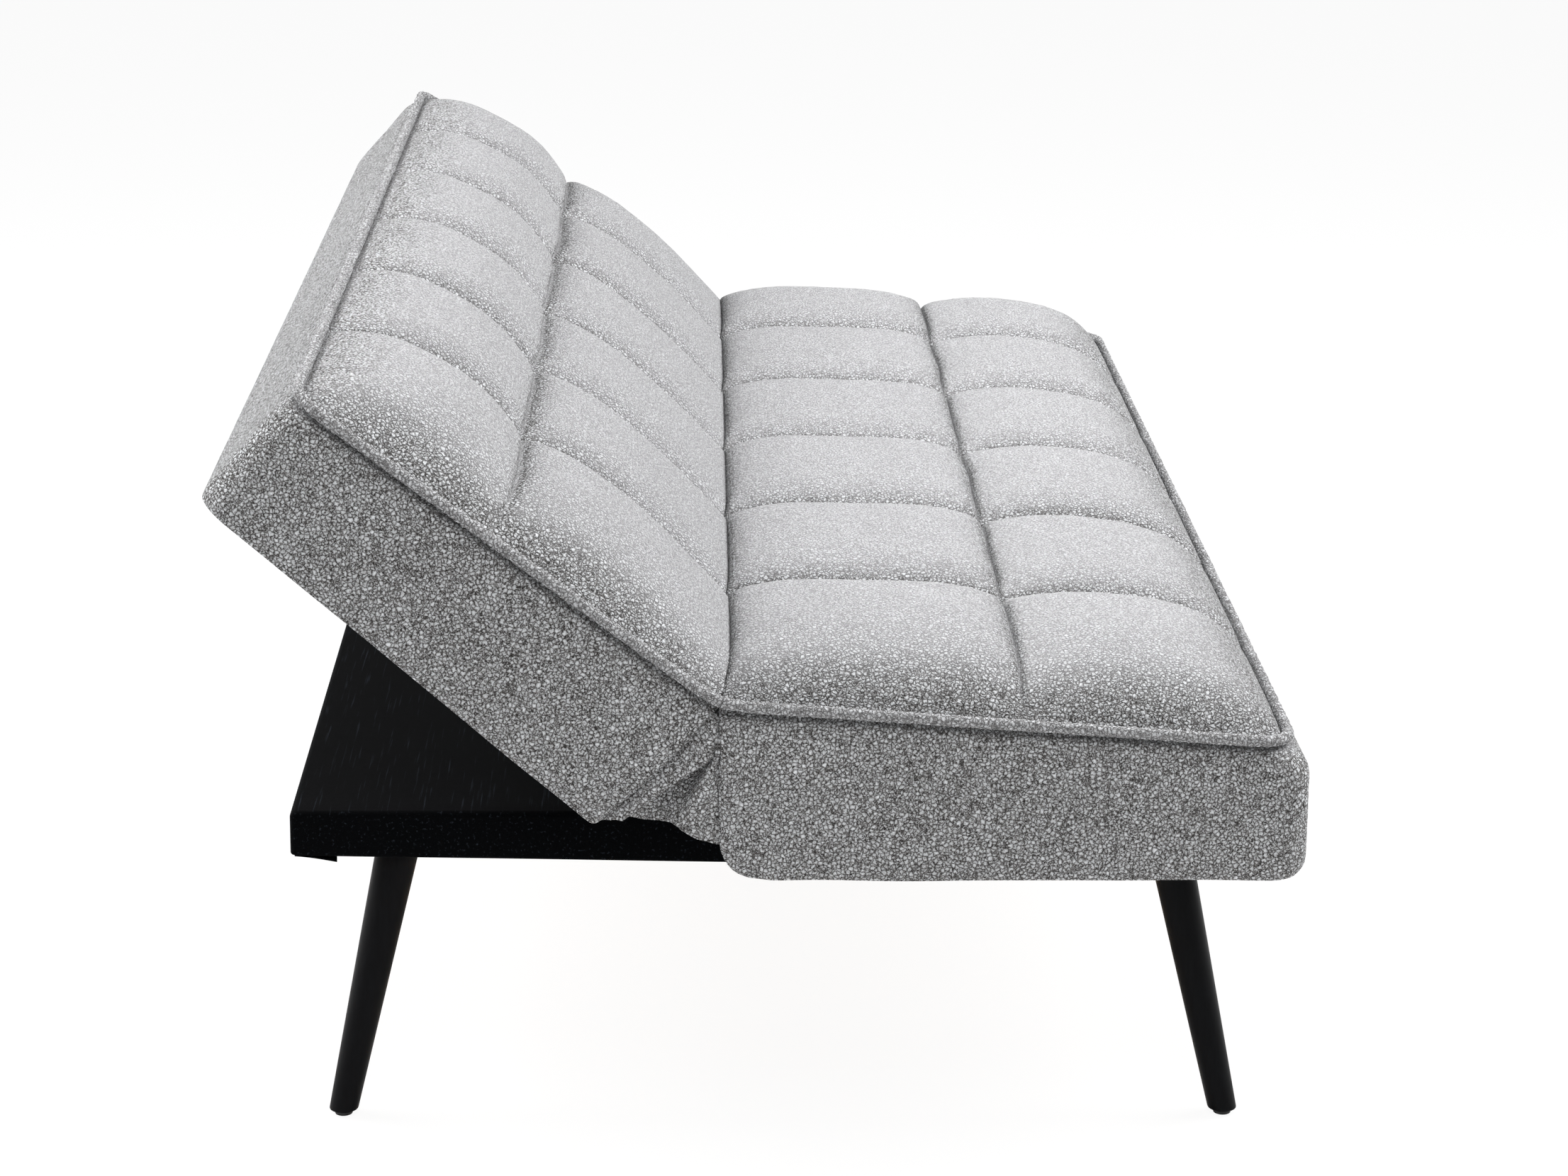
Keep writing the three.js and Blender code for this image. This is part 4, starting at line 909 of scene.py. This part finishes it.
def gusset_surface(side):
    """The cloth that fans across the end of the crease, in polar places about the crease point.

    From seat to back it swells out as a lobe, sinks into a pocket, and folds back out over the pocket as a
    flap with a round lip. The pocket opens with the distance from the crease and leans towards the back.
    The corners are where each fold step lies across the cloth, row by row away from the crease.
    """
    step = np.linspace(0, 1, 121)[None, :]
    r = np.linspace(0, 1, 56)[:, None]
    pocket_at = np.interp(r * GUSSET["reach"], POCKET_RADII, POCKET_SHARES)
    lip_at = np.interp(r * GUSSET["reach"], POCKET_RADII, LIP_SHARES)
    zero, full = 0 * pocket_at, 0 * pocket_at + 1
    corners = np.concatenate([
        zero - 0.03, 0.2 * pocket_at, 0.45 * pocket_at, 0.80 * pocket_at, pocket_at,
        lerp(pocket_at, lip_at, 0.6), lip_at + 0.012, lip_at,
        lerp(lip_at, full, 0.45), 0.2 * lip_at + 0.8, full + 0.05,
    ], 1)
    share = np.vstack([eased(step[0], FOLD_STEPS, row) for row in corners])
    hem = np.interp(share[-1:], HEM_SHARES, HEM_RADII)
    crumple, crumple_pitch = GUSSET["crumple"]
    r = lerp(GUSSET["start"], hem, r) + crumple * r * ripple(share * GUSSET["span"], r * 0, crumple_pitch, 3)
    depths = np.array(FOLD_DEPTHS)
    in_pocket = np.abs(depths) > GUSSET["least_pocket"]
    fold = eased(step, FOLD_STEPS, np.where(in_pocket, 0, depths)) * smooth(r / GUSSET["fold_from"])
    opening = smooth((r - GUSSET["pocket_from"]) / GUSSET["pocket_by"])
    fold = fold + GUSSET["pocket"] * eased(step, FOLD_STEPS, np.where(in_pocket, depths, 0)) * opening
    angle = share * (REST_TILT + np.arctan2(heel_out(BACK, -r), r))
    x = side * (side_half(np.clip(r / SEAT["height"], 0, 1)) - GUSSET["inset"] - fold)
    return np.stack([x, CREASE_Y + r * np.sin(angle), CREASE_Z - r * np.cos(angle)], -1)


def make_gusset(name, side):
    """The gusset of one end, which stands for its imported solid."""
    surface = gusset_surface(side)
    rearwards, upwards = GUSSET["inside"]
    piece = make_sheet(name + "_cloth", surface, CURLY, GUSSET["thickness"],
                       np.array([0, CREASE_Y + rearwards, CREASE_Z + upwards]))
    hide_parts(name)
    across_crease(piece)


make_gusset("gusset_right", -1)
make_gusset("gusset_left", 1)

STRIP = {
    "radius": 0.008, "top": 0.0135, "straight": 0.046, "centre": 0.001, "thickness": 0.002,
    "reach": HALF - 0.062, "sway": (0.0011, 0.12), "sway_by": 0.03, "inside": -0.02,
}


def make_crease_cloth():
    """The cloth sewn between the cushions: down one side, round the bottom as a half circle, up the other,
    with a slow waver along its length."""
    angle = np.linspace(np.pi, 2 * np.pi, 17)
    drop = np.linspace(STRIP["top"], STRIP["straight"], 9)[:-1]
    straight = np.ones(len(drop))
    y = np.concatenate([-straight, np.cos(angle), straight]) * STRIP["radius"]
    z = np.concatenate([-drop, -STRIP["straight"] + STRIP["radius"] * np.sin(angle), -drop[::-1]])
    x = np.linspace(-STRIP["reach"], STRIP["reach"], 240)[:, None]
    sway, sway_pitch = STRIP["sway"]
    sway = sway * ripple(x, 0 * x, sway_pitch, 9) * smooth((-z - STRIP["top"]) / STRIP["sway_by"])
    surface = np.stack([
        np.broadcast_to(x, (len(x), len(y))), CREASE_Y + STRIP["centre"] + y + sway,
        np.broadcast_to(CREASE_Z + z, (len(x), len(y))),
    ], -1)
    piece = make_sheet("crease_cloth", surface, CURLY, STRIP["thickness"],
                       np.array([0, CREASE_Y + STRIP["centre"], CREASE_Z + STRIP["inside"]]))
    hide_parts("crease_strip")
    across_crease(piece)


make_crease_cloth()
make_foam("seat_foam_block", SEAT, seat_place, 51, "base", "seat_foam")
make_foam("back_foam_block", BACK, back_place, 53, "backrest", "back_foam")
make_dust_cover()


# Base

BASE_LOW, BASE_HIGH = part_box("base_cover")
BASE = {
    "edge": 0.006, "corner": 0.005, "lower_edge": 0.003, "lap": 0.013, "thickness": 0.0012, "rim": 0.03,
    "slack_share": 0.0009, "slack_pitch": 0.22, "front_drop": 0.014, "cut_share": 0.985, "level_gap": 0.0001,
}
BASE_TAB = {
    "inset": 0.0015, "width": 0.034, "rear": 0.004, "length": 0.040, "skew": 0.003, "top": 0.0006,
    "hang": 0.0058, "ripple": (0.0004, 0.02), "flat": (0.036, 0.043),
}


def rounded_outline(low, high, radius, steps=9, spacing=0.02):
    """A level rectangle with round corners, walked once round: points on its sides, arcs at its corners."""
    centres = np.array([[high[0] - radius, high[1] - radius], [low[0] + radius, high[1] - radius],
                        [low[0] + radius, low[1] + radius], [high[0] - radius, low[1] + radius]])
    arcs = []
    for n in range(4):
        angle = np.linspace(n, n + 1, steps) * np.pi / 2
        arcs.append(centres[n] + radius * np.stack([np.cos(angle), np.sin(angle)], -1))
    line = []
    for n in range(4):
        a, b = arcs[n][-1], arcs[(n + 1) % 4][0]
        count = max(int(np.linalg.norm(b - a) / spacing), 1)
        line += [arcs[n], lerp(a, b, np.linspace(0, 1, count + 1)[1:-1, None])]
    return np.vstack(line)


def make_base_cloth():
    """Cloth pulled over the base: a flat top, a round upper edge, plain sides, and a lap stapled under.

    Each ring is the outline drawn in by an inset and set at a height; the two edges are quarter circles.
    The sides waver a little, and hang lower towards the front.
    """
    low, high = np.array(BASE_LOW), np.array(BASE_HIGH)
    up = np.linspace(np.pi / 2, 0, 7)
    under = np.linspace(0, np.pi / 2, 5)
    edge, lower = BASE["edge"], BASE["lower_edge"]
    inset = np.concatenate([[BASE["rim"]], edge * (1 - np.cos(up)), lower * (1 - np.cos(under)),
                            [lower + BASE["lap"] / 2, lower + BASE["lap"]]])
    height = np.concatenate([[high[2]], high[2] - edge * (1 - np.sin(up)),
                             low[2] + lower * (1 - np.sin(under)), [low[2], low[2]]])
    outline = rounded_outline(low, high, BASE["corner"])
    centre = (low[:2] + high[:2]) / 2
    reach = (high[:2] - low[:2]) / 2
    flat = outline - centre
    drawn = flat * (1 - inset[:, None, None] / reach)
    z = np.broadcast_to(height[:, None], drawn.shape[:2])
    below = (np.arange(len(inset)) > len(up))[:, None]
    slack = BASE["slack_share"] * ripple(outline[:, 0], outline[:, 1], BASE["slack_pitch"], 5) * below
    slack = slack * (height > low[2] + BASE["level_gap"])[:, None]
    sunk = BASE["front_drop"] * (high[1] - outline[:, 1]) / (high[1] - low[1]) * below
    points = np.concatenate([centre + drawn * (1 - slack[..., None]), (z - sunk)[..., None]], -1)
    grid = np.arange(z.size).reshape(z.shape)
    faces = quads(np.column_stack([grid, grid[:, 0]]))
    points = points.reshape(-1, 3)
    faces = turned_away(points, faces, np.array([*centre, (low[2] + high[2]) / 2]))
    piece = make_piece("base_cloth", points, faces, WOVEN, caps=[grid[0]])
    thickened(piece, BASE["thickness"])
    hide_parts("base_cover")
    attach(piece, "base")


make_base_cloth()


def make_base_tab():
    """The loose end of the folded corner at the base's near rear, which hangs a little below the hem."""
    low, high = np.array(BASE_LOW), np.array(BASE_HIGH)
    inwards, along = np.linspace(0, 1, 12)[:, None], np.linspace(0, 1, 18)[None, :]
    x = low[0] + BASE_TAB["inset"] + BASE_TAB["width"] * inwards + 0 * along
    y = high[1] - BASE_TAB["rear"] - BASE_TAB["length"] * along + BASE_TAB["skew"] * inwards
    z = low[2] - BASE_TAB["top"] - BASE_TAB["hang"] * along ** 1.3 * (1 - inwards) ** 1.6
    lift, pitch = BASE_TAB["ripple"]
    z = z + lift * ripple(x, y, pitch, 4)
    surface = np.stack([x, y, z], -1)
    piece = make_sheet("base_cloth_tab", surface, WOVEN, BASE["thickness"],
                       np.array([x.mean(), y.mean(), high[2]]))
    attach(piece, "base")


make_base_tab()


# Legs and glides

LEG = {
    "tip": 0.014, "top": 0.0213, "bore": 0.0043, "bore_depth": 0.034, "round": 0.002, "chamfer": 0.0012,
    "sides": 64,
}
GLIDE = {"round": 0.0012, "neck": 0.0008, "rim_share": 0.6, "neck_share": 0.72, "sides": 48}
AXIS_GAP = 0.0005


def soft_foot(radius, rounding, steps):
    """Profile places of a foot: a flat centre, then a quarter round up to the radius."""
    turn = np.linspace(0, np.pi / 2, steps)
    return [(AXIS_GAP, 0.0), *zip(radius - rounding * (1 - np.sin(turn)), rounding * (1 - np.cos(turn)))]


def make_leg(tag):
    """A tapered leg turned on its axis and leaned: softened foot, straight taper, chamfered top, bore."""
    low, high = (np.array(corner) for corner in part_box(f"leg_{tag}"))
    glide_low, glide_high = (np.array(corner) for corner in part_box(f"glide_{tag}"))
    tip = (glide_low[:2] + glide_high[:2]) / 2
    tip_radius, top_radius, bore, rounding = (LEG[key] for key in ("tip", "top", "bore", "round"))
    height = high[2] - low[2]
    outer = np.sign(tip)
    top = np.where(outer > 0, low[:2] + top_radius, high[:2] - top_radius)
    rate = (top - tip) / height
    profile = soft_foot(tip_radius, rounding, 5)
    profile += [(lerp(tip_radius, top_radius, share), rounding + (height - 2 * rounding) * share)
                for share in np.linspace(0.02, 1, 12)]
    profile += [(top_radius - LEG["chamfer"], height), (bore, height), (bore, height - LEG["bore_depth"]),
                (AXIS_GAP, height - LEG["bore_depth"])]
    points, faces, grid = turned(profile, LEG["sides"], rate, (*tip, low[2]))
    piece = make_piece(f"turned_leg_{tag}", points, faces, SATIN, [grid[0], grid[-1][::-1]])
    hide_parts(f"leg_{tag}")
    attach(piece, "base")


def make_glide(tag):
    """A low button: a flat foot, a rounded rim and a narrower neck under the leg."""
    low, high = (np.array(corner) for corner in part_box(f"glide_{tag}"))
    tip = (low[:2] + high[:2]) / 2
    radius, height = (high[0] - low[0]) / 2, high[2] - low[2]
    neck = radius - GLIDE["neck"]
    profile = soft_foot(radius, GLIDE["round"], 6)
    profile += [(radius, height * GLIDE["rim_share"]), (neck, height * GLIDE["neck_share"]), (neck, height),
                (AXIS_GAP, height)]
    points, faces, grid = turned(profile, GLIDE["sides"], (0, 0), (*tip, low[2]))
    caps = [grid[0], grid[-1][::-1]]
    piece = make_piece(f"round_glide_{tag}", points, faces, MOULDED, caps)
    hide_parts(f"glide_{tag}")
    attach(piece, "base")


for tag in ("front_right", "front_left", "rear_right", "rear_left"):
    make_leg(tag)
    make_glide(tag)


# Pawl springs

PAWL_SPRING = {
    "wire": 0.0007, "coil": 0.0029, "turns": 5, "length": 0.015, "steps": 24, "sides": 10, "keep": 0.72,
    "closed_share": 2.2,
}


def make_pawl_spring(side):
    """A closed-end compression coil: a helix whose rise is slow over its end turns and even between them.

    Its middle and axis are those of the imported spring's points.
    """
    packed = frame["nodes"][f"pawl_spring_{side}"].data
    places = np.empty(len(packed.vertices) * 3, np.float32)
    packed.vertices.foreach_get("co", places)
    places = places.reshape(-1, 3).astype(float)
    middle = (places.min(0) + places.max(0)) / 2
    axis = np.linalg.svd(places - places.mean(0), full_matrices=False)[2][0]
    axis = axis * np.sign(axis[2])
    across = np.array([1.0, 0, 0])
    behind = np.cross(axis, across)
    turns, length = PAWL_SPRING["turns"], PAWL_SPRING["length"]
    turn = np.linspace(0, turns, turns * PAWL_SPRING["steps"] + 1)
    closed = PAWL_SPRING["closed_share"] * PAWL_SPRING["wire"]
    rise = np.interp(turn, [0, 1, turns - 1, turns], [0, closed, length - closed, length]) - length / 2
    swing = PAWL_SPRING["coil"] * np.stack([np.cos(2 * np.pi * turn), np.sin(2 * np.pi * turn)], -1)
    path = middle + rise[:, None] * axis + swing[:, :1] * across + swing[:, 1:] * behind
    piece = make_tube(f"pawl_coil_{side}", np.asarray, path, PAWL_SPRING["wire"], PAWL_SPRING["sides"],
                      ZINC)
    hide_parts(f"pawl_spring_{side}")
    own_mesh(piece)
    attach(piece, "backrest")


make_pawl_spring("left")
make_pawl_spring("right")


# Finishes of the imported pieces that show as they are

def finish_of(name):
    """Timber for the rails and the deck, its grain along their length, and zinc for all that is metal."""
    if name.endswith(("right_rail", "left_rail")):
        return PINE_ACROSS
    return PINE_ALONG if name.endswith(("_rail", "_deck")) else ZINC


for name, part in frame["nodes"].items():
    if not part.hide_render:
        part.data.materials.clear()
        part.data.materials.append(finish_of(name))


# Floor, light and camera

FLOOR_REACH = 30.0
FLOOR_WHITE_SHARE = 0.93
CAMERA = {
    "place": (-4.4766, 0.0554, 1.5528), "pitch": 15.713, "yaw": -1.286, "roll": 0.427,
    "focal_pixels": 5735.84, "frame_pixels": 2212, "sensor_mm": 36,
}


def make_floor():
    """A pale floor that the camera sees nearly as the white behind it, with the sofa's soft shadow."""
    material, tree, shader = shaded("pale_floor")
    shader.inputs["Base Color"].default_value = (0.86, 0.86, 0.86, 1)
    shader.inputs["Roughness"].default_value = 0.9
    light = node(tree, "ShaderNodeEmission", {"Color": (1, 1, 1, 1), "Strength": 1.0})
    seen = node(tree, "ShaderNodeLightPath").outputs["Is Camera Ray"]
    share = maths(tree, "MULTIPLY", seen, FLOOR_WHITE_SHARE)
    mixed = node(tree, "ShaderNodeMixShader", {0: share, 1: shader.outputs[0], 2: light.outputs[0]})
    output = next(n for n in tree.nodes if n.type == "OUTPUT_MATERIAL")
    tree.links.new(mixed.outputs[0], output.inputs["Surface"])
    mesh = bpy.data.meshes.new("floor")
    corners = [(-1, -1), (1, -1), (1, 1), (-1, 1)]
    mesh.from_pydata([(FLOOR_REACH * x, FLOOR_REACH * y, 0) for x, y in corners], [], [(0, 1, 2, 3)])
    mesh.materials.append(material)
    floor = bpy.data.objects.new("floor", mesh)
    bpy.context.scene.collection.objects.link(floor)


def make_world(strength):
    """Plain even light, and white where the camera or a reflection looks past the floor."""
    world = bpy.data.worlds.new("studio")
    bpy.context.scene.world = world
    world.use_nodes = True
    tree = world.node_tree
    tree.nodes.clear()
    path = node(tree, "ShaderNodeLightPath")
    seen = maths(tree, "MAXIMUM", path.outputs["Is Camera Ray"],
                 maths(tree, "MAXIMUM", path.outputs["Is Glossy Ray"], path.outputs["Is Transmission Ray"]))
    level = maths(tree, "MULTIPLY_ADD", seen, 1 - strength, strength)
    background = node(tree, "ShaderNodeBackground", {"Color": (1, 1, 1, 1), "Strength": level})
    node(tree, "ShaderNodeOutputWorld", {"Surface": background.outputs[0]})


def softbox(name, place, target, width, height, power):
    """A rectangular area lamp that faces its target."""
    lamp = bpy.data.lights.new(name, "AREA")
    lamp.shape = "RECTANGLE"
    lamp.size, lamp.size_y, lamp.energy = width, height, power
    piece = bpy.data.objects.new(name, lamp)
    piece.location = place
    piece.rotation_euler = (Vector(target) - Vector(place)).to_track_quat("-Z", "Y").to_euler()
    bpy.context.scene.collection.objects.link(piece)


def make_camera():
    """The photograph's view: a long lens past one end, looking along the sofa and down."""
    pitch, yaw, roll = (math.radians(CAMERA[key]) for key in ("pitch", "yaw", "roll"))
    ahead = Vector((math.cos(pitch) * math.cos(yaw), math.cos(pitch) * math.sin(yaw), -math.sin(pitch)))
    right = ahead.cross(Vector((0, 0, 1))).normalized()
    up = right.cross(ahead)
    tilted_right = right * math.cos(roll) + up * math.sin(roll)
    tilted_up = up * math.cos(roll) - right * math.sin(roll)
    camera = bpy.data.cameras.new("camera")
    camera.sensor_width = CAMERA["sensor_mm"]
    camera.lens = camera.sensor_width * CAMERA["focal_pixels"] / CAMERA["frame_pixels"]
    piece = bpy.data.objects.new("camera", camera)
    turn = Matrix((tilted_right, tilted_up, -ahead)).transposed().to_4x4()
    piece.matrix_world = Matrix.Translation(CAMERA["place"]) @ turn
    bpy.context.scene.collection.objects.link(piece)
    bpy.context.scene.camera = piece


make_floor()
make_world(0.27)
softbox("front_light", (0.8, -3.2, 2.8), (0, 0, 0.4), 2.6, 2.0, 270)
softbox("rear_light", (0.7, 3.2, 2.6), (0, 0, 0.4), 2.6, 2.0, 265)
softbox("near_light", (-1.8, 0.0, 3.2), (-0.9, 0, 0.3), 0.9, 3.0, 78)
make_camera()
bpy.context.scene.view_settings.view_transform = "Standard"
